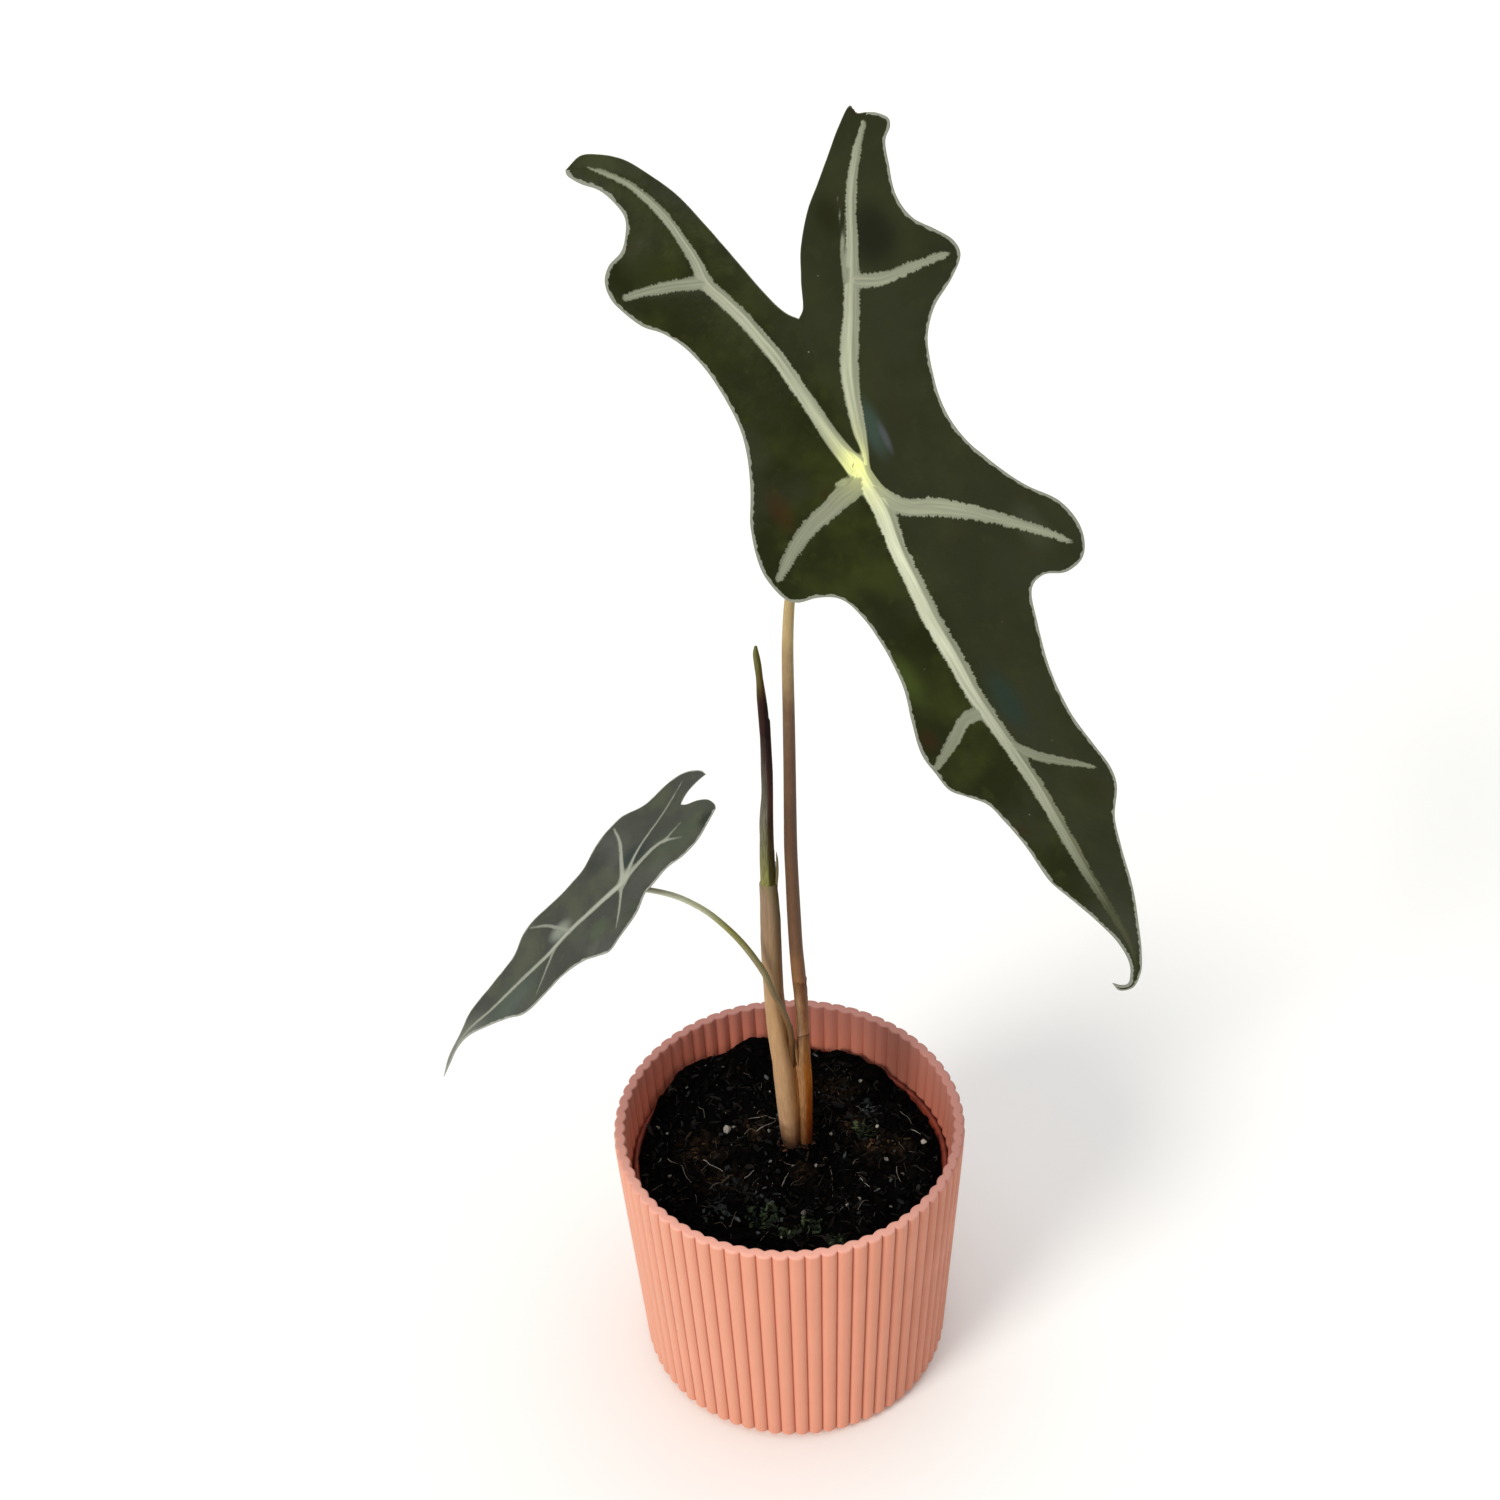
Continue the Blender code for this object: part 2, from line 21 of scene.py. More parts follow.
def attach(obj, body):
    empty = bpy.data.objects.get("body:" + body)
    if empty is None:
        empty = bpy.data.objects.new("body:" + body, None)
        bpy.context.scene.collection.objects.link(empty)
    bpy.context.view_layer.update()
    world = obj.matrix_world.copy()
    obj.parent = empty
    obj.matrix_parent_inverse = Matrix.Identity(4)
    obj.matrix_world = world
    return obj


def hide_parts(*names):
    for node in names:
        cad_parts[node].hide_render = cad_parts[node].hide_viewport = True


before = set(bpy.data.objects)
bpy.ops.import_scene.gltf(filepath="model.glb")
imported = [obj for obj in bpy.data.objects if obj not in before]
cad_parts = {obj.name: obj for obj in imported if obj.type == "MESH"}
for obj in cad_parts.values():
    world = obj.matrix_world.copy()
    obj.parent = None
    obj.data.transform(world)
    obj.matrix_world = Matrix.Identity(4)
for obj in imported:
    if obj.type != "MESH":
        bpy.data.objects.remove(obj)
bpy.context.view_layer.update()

LOG = logging.getLogger("potted_alocasia")
MM = 0.001
BODY = "root"

Pair = tuple[float, float]
Point = tuple[float, ...]
Points = tuple[Point, ...]
Colour = tuple[float, float, float, float]
Stops = tuple[tuple[float, str], ...]
Section = Callable[[float, float, float], float]
Tree, Node, Socket = bpy.types.NodeTree, bpy.types.Node, bpy.types.NodeSocket
Mesh = bmesh.types.BMesh

# The Mix node's setting and sockets when it mixes colours, and the Map Range node's smooth setting.
COLOURS = {"data_type": "RGBA"}
FACTOR, FIRST, SECOND, MIXED = 0, 6, 7, 2
EASED = {"interpolation_type": "SMOOTHSTEP"}


# ---- shared tools

def linear(code: str) -> Colour:
    """Turn an sRGB hex colour into linear light.

    Args:
        code: the colour as "#rrggbb".

    Returns:
        Red, green, blue and an alpha of 1.
    """
    channels = [int(code[n:n + 2], 16) / 255 for n in (1, 3, 5)]
    lit = [c / 12.92 if c <= 0.04045 else ((c + 0.055) / 1.055) ** 2.4 for c in channels]
    return (lit[0], lit[1], lit[2], 1.0)


def add_node(tree: Tree, kind: str, inputs: dict | None = None, **settings: object) -> Node:
    """Add a node with its settings, constants and links.

    Args:
        tree: the material's node tree.
        kind: the shader node's type, such as "Mix".
        inputs: socket name or number, with a constant or the output socket that feeds it.
        settings: properties to set; "stops" holds a colour ramp's (position, colour) pairs.

    Returns:
        The new node.
    """
    made = tree.nodes.new("ShaderNode" + kind)
    for key, value in settings.items():
        if key != "stops":
            setattr(made, key, value)
            continue
        elements = made.color_ramp.elements
        while len(elements) < len(value):
            elements.new(1.0)
        for element, (position, colour) in zip(elements, value):
            element.position = position
            element.color = colour
    for key, value in (inputs or {}).items():
        if isinstance(value, Socket):
            tree.links.new(value, made.inputs[key])
        else:
            made.inputs[key].default_value = value
    return made


def curve_point(points: Sequence[Point], t: float) -> Vector:
    """Find a point of the centripetal Catmull-Rom spline through some points.

    Args:
        points: the spline's points, of any one dimension.
        t: the index along them, with a fraction.

    Returns:
        The point, of the same dimension.
    """
    last = len(points) - 1
    i = max(min(int(t), last - 1), 0)
    f = t - i
    b, c = Vector(points[i]), Vector(points[i + 1])
    a = Vector(points[i - 1]) if i > 0 else b * 2 - c
    d = Vector(points[i + 2]) if i + 2 <= last else c * 2 - b
    k = [0.0]
    for p, q in ((a, b), (b, c), (c, d)):
        k.append(k[-1] + max(math.sqrt((q - p).length), 1e-4))
    x = k[1] + f * (k[2] - k[1])
    a1 = a.lerp(b, (x - k[0]) / (k[1] - k[0]))
    a2 = b.lerp(c, (x - k[1]) / (k[2] - k[1]))
    a3 = c.lerp(d, (x - k[2]) / (k[3] - k[2]))
    b1 = a1.lerp(a2, (x - k[0]) / (k[2] - k[0]))
    b2 = a2.lerp(a3, (x - k[1]) / (k[3] - k[1]))
    return b1.lerp(b2, (x - k[1]) / (k[2] - k[1]))


def smooth_step(x: float) -> float:
    """Ease from 0 to 1 as x goes from 0 to 1."""
    x = min(max(x, 0.0), 1.0)
    return x * x * (3 - 2 * x)


def lumps(x: float, y: float, z: float, size: float) -> float:
    """Smooth noise from -1 to 1 whose bumps are about size mm across."""
    return noise.noise(Vector((x, y, z)) / size)


@dataclass(frozen=True)
class Finish:
    """A surface finish on the Principled shader, with constants from the real material."""

    name: str
    slot: str
    roughness: float
    ior: float = 1.45
    specular: float = 0.5

    def make(self) -> bpy.types.Material:
        """Build the material and lay its patterns on the shader.

        Returns:
            The new material.
        """
        material = bpy.data.materials.new(self.name)
        material.use_nodes = True
        tree = material.node_tree
        shader = tree.nodes["Principled BSDF"]
        shader.inputs["Roughness"].default_value = self.roughness
        shader.inputs["IOR"].default_value = self.ior
        shader.inputs["Specular IOR Level"].default_value = self.specular
        self.paint(tree, shader)
        return material

    def paint(self, tree: Tree, shader: Node) -> None:
        """Link this finish's patterns to the shader; each kind of finish has its own.

        Args:
            tree: the material's node tree.
            shader: its Principled shader.
        """
        raise NotImplementedError


def show(bm: Mesh, name: str, finish: Finish, replaces: Sequence[str] = (),
         crease: float = 40.0) -> bpy.types.Object:
    """Turn a finished bmesh into a piece of the object.

    Args:
        bm: the mesh, in metres at its place; it is freed.
        name: the piece's name.
        finish: its surface finish.
        replaces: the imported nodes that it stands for.
        crease: the angle in degrees past which an edge looks sharp.

    Returns:
        The new object.
    """
    mesh = bpy.data.meshes.new(name)
    bm.to_mesh(mesh)
    bm.free()
    mesh.materials.append(finish.make())
    mesh.shade_smooth()
    mesh.set_sharp_from_angle(angle=math.radians(crease))
    piece = bpy.data.objects.new(name, mesh)
    bpy.context.scene.collection.objects.link(piece)
    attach(piece, BODY)
    if replaces:
        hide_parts(*replaces)
    faces = sum(len(p.vertices) - 2 for p in mesh.polygons)
    LOG.info("%s: %d triangles, %s", name, faces, finish.name)
    return piece


def spin_profile(profile: Sequence[Pair], steps: int) -> Mesh:
    """Turn a closed (radius, height) profile in mm about the pot's axis.

    Args:
        profile: from the axis, down under and up outside, then back in to the axis.
        steps: how many steps make the full turn.

    Returns:
        A closed mesh in mm.
    """
    bm = bmesh.new()
    verts = [bm.verts.new((r, 0.0, z)) for r, z in profile]
    edges = [bm.edges.new(pair) for pair in zip(verts, verts[1:])]
    bmesh.ops.spin(bm, geom=verts + edges, cent=(0, 0, 0), axis=(0, 0, 1), dvec=(0, 0, 0),
                   angle=math.tau, steps=steps, use_merge=True, use_duplicate=False)
    bmesh.ops.remove_doubles(bm, verts=bm.verts, dist=0.001)
    bmesh.ops.recalc_face_normals(bm, faces=bm.faces)
    return bm


def arc(centre: Pair, radius: float, start: float, end: float, steps: int) -> list[Pair]:
    """List the points of an arc from one angle in degrees to another."""
    angles = [math.radians(start + (end - start) * n / steps) for n in range(steps + 1)]
    return [(centre[0] + radius * math.cos(a), centre[1] + radius * math.sin(a)) for a in angles]


# ---- pots

@dataclass(frozen=True)
class MouldedPolypropylene(Finish):
    """Salmon polypropylene, injection moulded in a fine-grained mould: an even, satin skin.

    Light and shade are painted into its colour. Painted bounce light reddens the inner wall, with painted
    shade, so left, right and back have their own tones; painted shade darkens the outer wall towards its
    right; the lip carries a painted highlight, darker at its back; and the colour "deep" is painted shade in
    the grooves.
    "bloom" gives the outer wall's paler clouds.
    """

    deep: str = "#ad5640"
    outer_lit_left: str = "#d8967c"
    outer_shaded_right: str = "#d88c6f"
    outer_shaded_far: str = "#c3775a"
    bloom: str = "#e29a80"
    inner_bounce_left: str = "#f05a39"
    inner_shaded_right: str = "#a5605a"
    lip: str = "#e8a895"
    lip_back_shade: str = "#ad776c"
    grain: float = 0.35

    def paint(self, tree: Tree, shader: Node) -> None:
        """Paint reddening bounce light and shade on the inner wall, shade across the outer wall, a highlight
        on the lip and shade in the grooves, and give the mould's grain.

        Args:
            tree: the material's node tree.
            shader: its Principled shader.
        """
        place = add_node(tree, "TexCoord").outputs["Object"]
        groove, within, lip = (add_node(tree, "Attribute", attribute_name=name).outputs["Fac"]
                               for name in ("groove", "within", "lip"))
        spot = add_node(tree, "SeparateXYZ", {"Vector": place})
        # Painted shade: the outer wall darkens from its left to its right, and more at its far right.
        across = add_node(tree, "MapRange", {
            "Value": spot.outputs["X"], "From Min": -55 * MM, "From Max": 45 * MM})
        far = add_node(tree, "MapRange", {
            "Value": spot.outputs["X"], "From Min": 28 * MM, "From Max": 64 * MM}, **EASED)
        clouds = add_node(tree, "TexNoise", {"Vector": place, "Scale": 45.0, "Detail": 3.0})
        faint = add_node(tree, "MapRange", {
            "Value": clouds.outputs["Fac"], "From Min": 0.4, "From Max": 0.75, "To Max": 0.4})
        # Painted bounce light and shade on the inner wall, from its left to its right.
        inner = add_node(tree, "Mix", {
            FACTOR: across.outputs["Result"], FIRST: linear(self.inner_bounce_left),
            SECOND: linear(self.inner_shaded_right)}, **COLOURS)
        # The lip's painted highlight, turning to painted shade towards its back.
        behind = add_node(tree, "Math", {
            0: spot.outputs["X"], 1: 0.3, 2: spot.outputs["Y"]}, operation="MULTIPLY_ADD")
        back = add_node(tree, "MapRange", {
            "Value": behind.outputs["Value"], "From Min": -76 * MM, "From Max": 4 * MM}, **EASED)
        edge = add_node(tree, "Mix", {
            FACTOR: back.outputs["Result"], FIRST: linear(self.lip), SECOND: linear(self.lip_back_shade)},
            **COLOURS)
        # Painted shade in the grooves outside and in the troughs between the inner waves, darkest at their
        # bottoms.
        shade = add_node(tree, "MapRange", {
            "Value": groove, "From Min": 0.6, "From Max": 1.0, "To Max": 0.75}, **EASED)
        colour = linear(self.outer_lit_left)
        for share, over in ((across.outputs["Result"], linear(self.outer_shaded_right)),
                            (far.outputs["Result"], linear(self.outer_shaded_far)),
                            (faint.outputs["Result"], linear(self.bloom)),
                            (within, inner.outputs[MIXED]), (lip, edge.outputs[MIXED]),
                            (shade.outputs["Result"], linear(self.deep))):
            colour = add_node(tree, "Mix", {
                FACTOR: share, FIRST: colour, SECOND: over}, **COLOURS).outputs[MIXED]
        tree.links.new(colour, shader.inputs["Base Color"])
        skin = add_node(tree, "TexNoise", {
            "Vector": place, "Scale": 1 / (3 * self.grain * MM), "Detail": 2.0})
        bump = add_node(tree, "Bump", {
            "Height": skin.outputs["Fac"], "Strength": 0.25, "Distance": 0.1 * MM})
        tree.links.new(bump.outputs["Normal"], shader.inputs["Normal"])
        shader.inputs["Subsurface Weight"].default_value = 0.08
        shader.inputs["Subsurface Radius"].default_value = (4 * MM, 1.5 * MM, 1 * MM)


@dataclass(frozen=True)
class ThinTerracottaPlastic(Finish):
    """Thermoformed recycled plastic of a grower's pot: thin, brown-orange, scuffed and dusty."""

    clean: str = "#7c3323"
    scuffed: str = "#561f14"

    def paint(self, tree: Tree, shader: Node) -> None:
        """Mix dust and scuffs of about 6 mm into the plain brown-orange.

        Args:
            tree: the material's node tree.
            shader: its Principled shader.
        """
        place = add_node(tree, "TexCoord").outputs["Object"]
        dust = add_node(tree, "TexNoise", {"Vector": place, "Scale": 160.0, "Detail": 5.0})
        patch = add_node(tree, "MapRange", {
            "Value": dust.outputs["Fac"], "From Min": 0.42, "From Max": 0.68})
        colour = add_node(tree, "Mix", {
            FACTOR: patch.outputs["Result"], FIRST: linear(self.clean), SECOND: linear(self.scuffed)},
            **COLOURS)
        tree.links.new(colour.outputs[MIXED], shader.inputs["Base Color"])
        bump = add_node(tree, "Bump", {
            "Height": dust.outputs["Fac"], "Strength": 0.3, "Distance": 0.3 * MM})
        tree.links.new(bump.outputs["Normal"], shader.inputs["Normal"])


@dataclass
class CoverPot:
    """Tapered cover pot whose wall is corrugated on both faces, with a flat, round-edged lip.

    Attributes:
        round_over, lip_edge: the radii of the lip's outer and inner edge.
        foot_round: the radius of the round between foot and wall, which ends at foot_rise.
        flank_radius: the outer wall's radius at foot_rise.
        outer_depth, inner_depth: how deep the grooves outside and inside are.
        valley: how far from the bottom of an outer groove its rounding reaches.
    """

    height: float = 118.0
    rim_radius: float = 69.0
    wall: float = 3.6
    lip_edge: float = 0.8
    round_over: float = 1.15
    floor: float = 3.6
    foot_radius: float = 60.3
    foot_round: float = 3.2
    foot_rise: float = 3.5
    flank_radius: float = 63.1
    inner_foot_radius: float = 59.9
    ribs: int = 70
    outer_depth: float = 1.5
    inner_depth: float = 1.05
    valley: float = 0.3
    steps_per_rib: int = 16
    wall_steps: int = 6

    def profile(self) -> list[Pair]:
        """Draw the wall's section.

        Returns:
            (radius, height) points from the axis, out, up and back to the axis.
        """
        edge, round_over = self.lip_edge, self.round_over
        shoulder, under_lip = self.height - round_over, self.height - edge
        flat = self.foot_radius - 2.6
        foot = [(0.0, 0.0), (flat, 0.0)] + arc((flat, self.foot_round), self.foot_round, -80, -20, 5)
        flank = [(self.flank_radius + (self.rim_radius - self.flank_radius) * n / self.wall_steps,
                  self.foot_rise + (shoulder - 3 - self.foot_rise) * n / self.wall_steps)
                 for n in range(self.wall_steps)]
        flank += [(self.rim_radius - 0.15, shoulder - 3), (self.rim_radius - 0.05, shoulder - 1)]
        inside_top = self.rim_radius - self.wall
        lip = arc((self.rim_radius - round_over, shoulder), round_over, 0, 90, 7)
        lip += [(self.rim_radius - self.wall / 2, self.height + 0.02)]
        lip += arc((inside_top + edge, under_lip), edge, 90, 180, 5)
        inside = [(inside_top + (self.inner_foot_radius - inside_top) * n / self.wall_steps,
                   under_lip + (self.floor + 3 - under_lip) * n / self.wall_steps)
                  for n in range(1, self.wall_steps + 1)]
        inside += [(self.inner_foot_radius - 0.9, self.floor + 0.9),
                   (self.inner_foot_radius - 3, self.floor)]
        return foot + flank + lip + inside + [(0.0, self.floor)]

    def build(self) -> None:
        """Turn the section, press the ribs into it and show the pot.

        Outside, each rib is a circular arc and the grooves between them are sharp; inside, they are
        soft waves. Both die out towards the lip and the floor.
        """
        bm = spin_profile(self.profile(), self.ribs * self.steps_per_rib)
        # groove marks where the finish paints shade in the grooves, within the inner wall's painted bounce
        # light and shade, lip the lip's painted highlight.
        groove, within, lip = (bm.verts.layers.float.new(name) for name in ("groove", "within", "lip"))
        inside_top = self.rim_radius - self.wall
        widening = self.rim_radius - self.flank_radius
        half_pitch = math.pi * self.rim_radius / self.ribs
        bulge = (half_pitch ** 2 + self.outer_depth ** 2) / (2 * self.outer_depth)
        for vert in bm.verts:
            radius, z = math.hypot(vert.co.x, vert.co.y), vert.co.z
            if radius < self.inner_foot_radius - 6:
                continue
            angle = math.atan2(vert.co.x, -vert.co.y)
            turns = self.ribs * angle / math.tau
            aside = 2 * abs(turns - round(turns)) * half_pitch
            fall = bulge - math.sqrt(bulge ** 2 - aside ** 2)
            swell = abs(math.sin(self.ribs * angle / 2))
            taper = (self.height - z) / self.height * widening
            outside = min(max((radius + taper - inside_top) / self.wall, 0.0), 1.0)
            if z > self.floor:
                vert[within] = min(max((inside_top + 0.4 - radius - taper) / 0.8, 0.0), 1.0)
            vert[lip] = smooth_step((z - self.height + 1.3) / 0.9)
            below_lip = 1 - smooth_step((z - self.height + 1.0) / 0.6)
            above_floor = smooth_step((z - self.floor) / 5.0)
            if outside > 0.5:
                share = (z - self.foot_rise) / (self.height - self.round_over - 3 - self.foot_rise)
                wall = self.flank_radius + widening * min(max(share, 0.0), 1.0) - fall
                near = max(self.valley - abs(radius - wall), 0.0) / self.valley
                radius = min(radius, wall) - near * near * self.valley / 4
                vert[groove] = fall / self.outer_depth * below_lip
            else:
                vert[groove] = 0.95 * (1 - swell) * above_floor * below_lip
            radius -= self.inner_depth * swell * (1 - outside) * above_floor
            vert.co = Vector((radius * math.sin(angle), -radius * math.cos(angle), z))
        bmesh.ops.scale(bm, vec=(MM, MM, MM), verts=bm.verts)
        finish = MouldedPolypropylene("moulded polypropylene", "cover_pot_plastic", 0.5, 1.49, 0.35)
        show(bm, "ribbed_cover_pot", finish, ["cover_pot"], 34)


@dataclass
class GrowersPot:
    """Thin tapered pot with a folded rim, a little out of round and leaning to its right."""

    rim_radius: float = 63.0
    top: float = 96.0
    wall: float = 0.9
    base_radius: float = 46.0
    base: float = 3.9
    skirt: float = 6.0
    lip_radius: float = 0.95
    dent: float = 0.3
    lean: float = 1.2
    stiff_share: float = 0.6
    steps: int = 180

    def build(self) -> None:
        """Turn the section, press it slightly out of round and show it."""
        skirt = [(self.rim_radius - 1.2, self.top - self.skirt), (self.rim_radius, self.top - self.skirt)]
        lip = arc((self.rim_radius - self.lip_radius, self.top - self.lip_radius), self.lip_radius, 0, 180, 6)
        profile = [(0.0, self.base), (self.base_radius, self.base)] + skirt + lip
        profile += [(self.base_radius - self.wall, self.base + self.wall), (0.0, self.base + self.wall)]
        bm = spin_profile(profile, self.steps)
        for vert in bm.verts:
            angle = math.atan2(vert.co.y, vert.co.x)
            rise = max(vert.co.z / self.top - self.stiff_share, 0) / (1 - self.stiff_share)
            push = self.dent * rise * (math.sin(3 * angle + 1) + 0.5 * math.sin(7 * angle) - 1)
            radius = math.hypot(vert.co.x, vert.co.y)
            if radius > 1:
                vert.co.x *= (radius + push) / radius
                vert.co.y *= (radius + push) / radius
            vert.co.z -= self.lean * rise * math.cos(angle)
        bmesh.ops.scale(bm, vec=(MM, MM, MM), verts=bm.verts)
        finish = ThinTerracottaPlastic("thermoformed terracotta plastic", "nursery_pot_plastic",
                                       0.5, 1.5, 0.3)
        show(bm, "growers_pot", finish, ["nursery_pot"])


# ---- soil

@dataclass(frozen=True)
class Speckle(Finish):
    """Loose stuff whose grains differ: each grain's "shade" picks its colour on a ramp.

    Attributes:
        stops: the ramp, from the dampest and darkest to the driest.
        spot, relief: the size of the mottling and the depth of the rough surface, in mm.
    """

    stops: Stops = ()
    spot: float = 1.0
    relief: float = 0.2

    def paint(self, tree: Tree, shader: Node) -> None:
        """Colour by the grain's shade, mottled at the spot size, with a rough relief in mm.

        Args:
            tree: the material's node tree.
            shader: its Principled shader.
        """
        place = add_node(tree, "TexCoord").outputs["Object"]
        mottle = add_node(tree, "TexNoise", {
            "Vector": place, "Scale": 1 / (2 * self.spot * MM), "Detail": 4.0, "Roughness": 0.6})
        shade = add_node(tree, "Attribute", attribute_name="shade")
        spread = add_node(tree, "MapRange", {
            "Value": mottle.outputs["Fac"], "From Min": 0.25, "From Max": 0.75,
            "To Min": -0.2, "To Max": 0.2})
        pick = add_node(tree, "Math", {
            0: shade.outputs["Fac"], 1: spread.outputs["Result"]}, operation="ADD", use_clamp=True)
        stops = [(position, linear(code)) for position, code in self.stops]
        ramp = add_node(tree, "ValToRGB", {"Fac": pick.outputs["Value"]}, stops=stops)
        tree.links.new(ramp.outputs["Color"], shader.inputs["Base Color"])
        bump = add_node(tree, "Bump", {
            "Height": mottle.outputs["Fac"], "Strength": 0.7, "Distance": self.relief * MM})
        tree.links.new(bump.outputs["Normal"], shader.inputs["Normal"])


@dataclass
class PottingSoil:
    """Moist peat and bark with fibres, perlite and a little moss, mounded round the stems.

    Attributes:
        level: the height in the middle; fall and lean: how far it drops at the rim and to the right.
        radius, depth, rings, steps: the solid bed's size and mesh; margin: its bare edge.
        scrap_count: the scraps round each stem's foot; the other counts are for the whole bed.
        spill: (angle, spread, rise) of the heaps against the pot, in degrees and mm.
        dry_spots, litter_spots, perlite_spots, moss_spots: (x, y, size) of what lies at known spots.
        straw_spots: (x, y, x, y) of both ends of the fibres that do.
    """

    level: float = 99.3
    fall: float = 4.3
    lean: float = 1.7
    radius: float = 60.4
    depth: float = 40.0
    margin: float = 1.2
    rings: int = 80
    steps: int = 260
    seed: int = 11
    crumb_count: int = 3600
    clod_count: int = 260
    bark_count: int = 560
    flake_count: int = 260
    scrap_count: int = 44
    perlite_count: int = 70
    straw_count: int = 130
    stem_feet: Points = ((0.4, 4.0), (6.6, 4.0))
    spill: Points = (
        (122, 24, 6.0), (101, 13, 7.5), (75, 10, 3.0), (56, 13, 5.5), (145, 16, 3.5))
    dry_spots: Points = (
        (-36, 3, 10), (-28, -12, 9), (-14, 16, 7), (28, 14, 9), (42, 4, 7), (22, 36, 8), (33, 2, 8),
        (4, -10, 6))
    litter_spots: Points = (
        (-16, -24, 8), (-28, -28, 7), (-8, -34, 5), (34, 22, 5), (-22, -16, 7))
    perlite_spots: Points = (
        (-25, 14, 2.0), (-22.5, 15.5, 1.5), (-53, 18, 0.9), (-49, 13, 0.8), (-8, 11, 0.9), (54, 6, 1.3),
        (38, -5, 1.1), (44, -10, 0.9), (26, -24, 0.9), (21, -27, 0.8), (38, -26, 0.9), (4, -32, 1.5),
        (1, -7, 0.8), (10, -7, 0.8), (31, 40, 1.0), (36, 14, 0.9), (17, 9, 0.8), (-5, -42, 0.8),
        (-33, 45, 1.0), (-26, 47, 0.8), (-7, 35, 0.8), (-8, -6, 0.8), (-48, -9, 0.8))
    moss_spots: Points = (
        (-11, -31, 7.5), (-2, -40, 4.5), (6, -36, 4.5), (16, -43, 3.5), (30, 12, 5.0))
    straw_spots: Points = (
        (-36.5, 27, -34, 21), (-49, 1, -43, -5), (-43, -5, -39.5, -12.5), (-34.5, -3, -27, -7.5),
        (-32.5, -17.5, -24, -10), (-18, 12, -13, 12), (-13, 12.5, -5, 17), (-17.5, 18, -5, 18),
        (-12.5, 21, -9.5, 24.5), (-18.5, -12, -14.5, -10), (-5.5, -6, 0, -7), (-4, -18, -1, -10.5),
        (-24.5, -36, -22, -30), (15.5, -7, 15.5, -25), (27, -14, 30.5, -18.5), (25, -29.5, 29.5, -25.5),
        (46, 22.5, 50, 15.5), (49.5, 11.5, 53, 9), (42, -7, 43, -16), (19, 34, 21.5, 29.5), (28, 24, 30, 22),
        (24, -9.5, 27, -5))

    def height(self, x: float, y: float) -> float:
        """Give the height of the soil's uneven top.

        Args:
            x, y: the place in mm.

        Returns:
            Its height in mm.
        """
        reach = math.hypot(x, y)
        swell = math.sin(x / 7.3 + 1.2) * math.cos(y / 8.1) + 0.6 * math.sin((x - y) / 4.9 + 0.5)
        top = self.level - self.fall * (reach / 59) ** 2 - self.lean * x * reach / 59 ** 2
        top += 0.7 * swell * min(reach / 14, 1)
        top += 2.2 * lumps(x, y, 3.0, 10.0) + 1.7 * lumps(x, y, 9.0, 4.0) + 0.8 * lumps(x, y, 5.0, 1.8)
        angle = math.degrees(math.atan2(y, x))
        for middle, spread, rise in self.spill:
            top += rise * math.exp(-((angle - middle) / spread) ** 2) * smooth_step((reach - 44) / 15)
        foot = min(math.hypot(x - fx, y - fy) for fx, fy in self.stem_feet)
        return top + 1.2 * math.exp(-(foot / 6.0) ** 2)

    def dryness(self, x: float, y: float) -> float:
        """Say how dry and pale the loose stuff is at a place, from 0 to 1."""
        best = max(math.exp(-((x - sx) ** 2 + (y - sy) ** 2) / spread ** 2)
                   for sx, sy, spread in self.dry_spots)
        return min(max(0.34 + 0.66 * best + 0.2 * lumps(x, y, 2.0, 14.0), 0.1), 1.0)

    def bed(self) -> None:
        """Make the solid body of peat that the loose grains lie on."""
        profile = [(0.0, self.level - self.depth), (self.radius - 8, self.level - self.depth)]
        profile += [(self.radius * (1 - n / self.rings), self.level) for n in range(self.rings + 1)]
        bm = spin_profile(profile, self.steps)
        shade = bm.verts.layers.float.new("shade")
        for vert in bm.verts:
            if vert.co.z > self.level - 1:
                vert.co.z = self.height(vert.co.x, vert.co.y)
                dry = self.dryness(vert.co.x, vert.co.y)
                vert[shade] = dry * (0.75 + 0.5 * lumps(vert.co.x, vert.co.y, 1.0, 3.0))
        bmesh.ops.scale(bm, vec=(MM, MM, MM), verts=bm.verts)
        finish = Speckle("moist peat", "soil", 0.75, 1.4, 0.03,
                         ((0.0, "#010101"), (0.35, "#030202"), (0.65, "#120c07"), (1.0, "#2c2015")),
                         spot=0.9, relief=1.0)
        show(bm, "peat_bed", finish, ["soil"], 60)

    def spot(self, rng: random.Random) -> Pair:
        """Pick a random place on the soil, clear of the stems' feet.

        Args:
            rng: the source of the draws.

        Returns:
            Its x and y in mm.
        """
        while True:
            reach = (self.radius - self.margin) * math.sqrt(rng.random())
            angle = rng.uniform(0, math.tau)
            x, y = reach * math.cos(angle), reach * math.sin(angle)
            if min(math.hypot(x - fx, y - fy) for fx, fy in self.stem_feet) > 4.2:
                return x, y

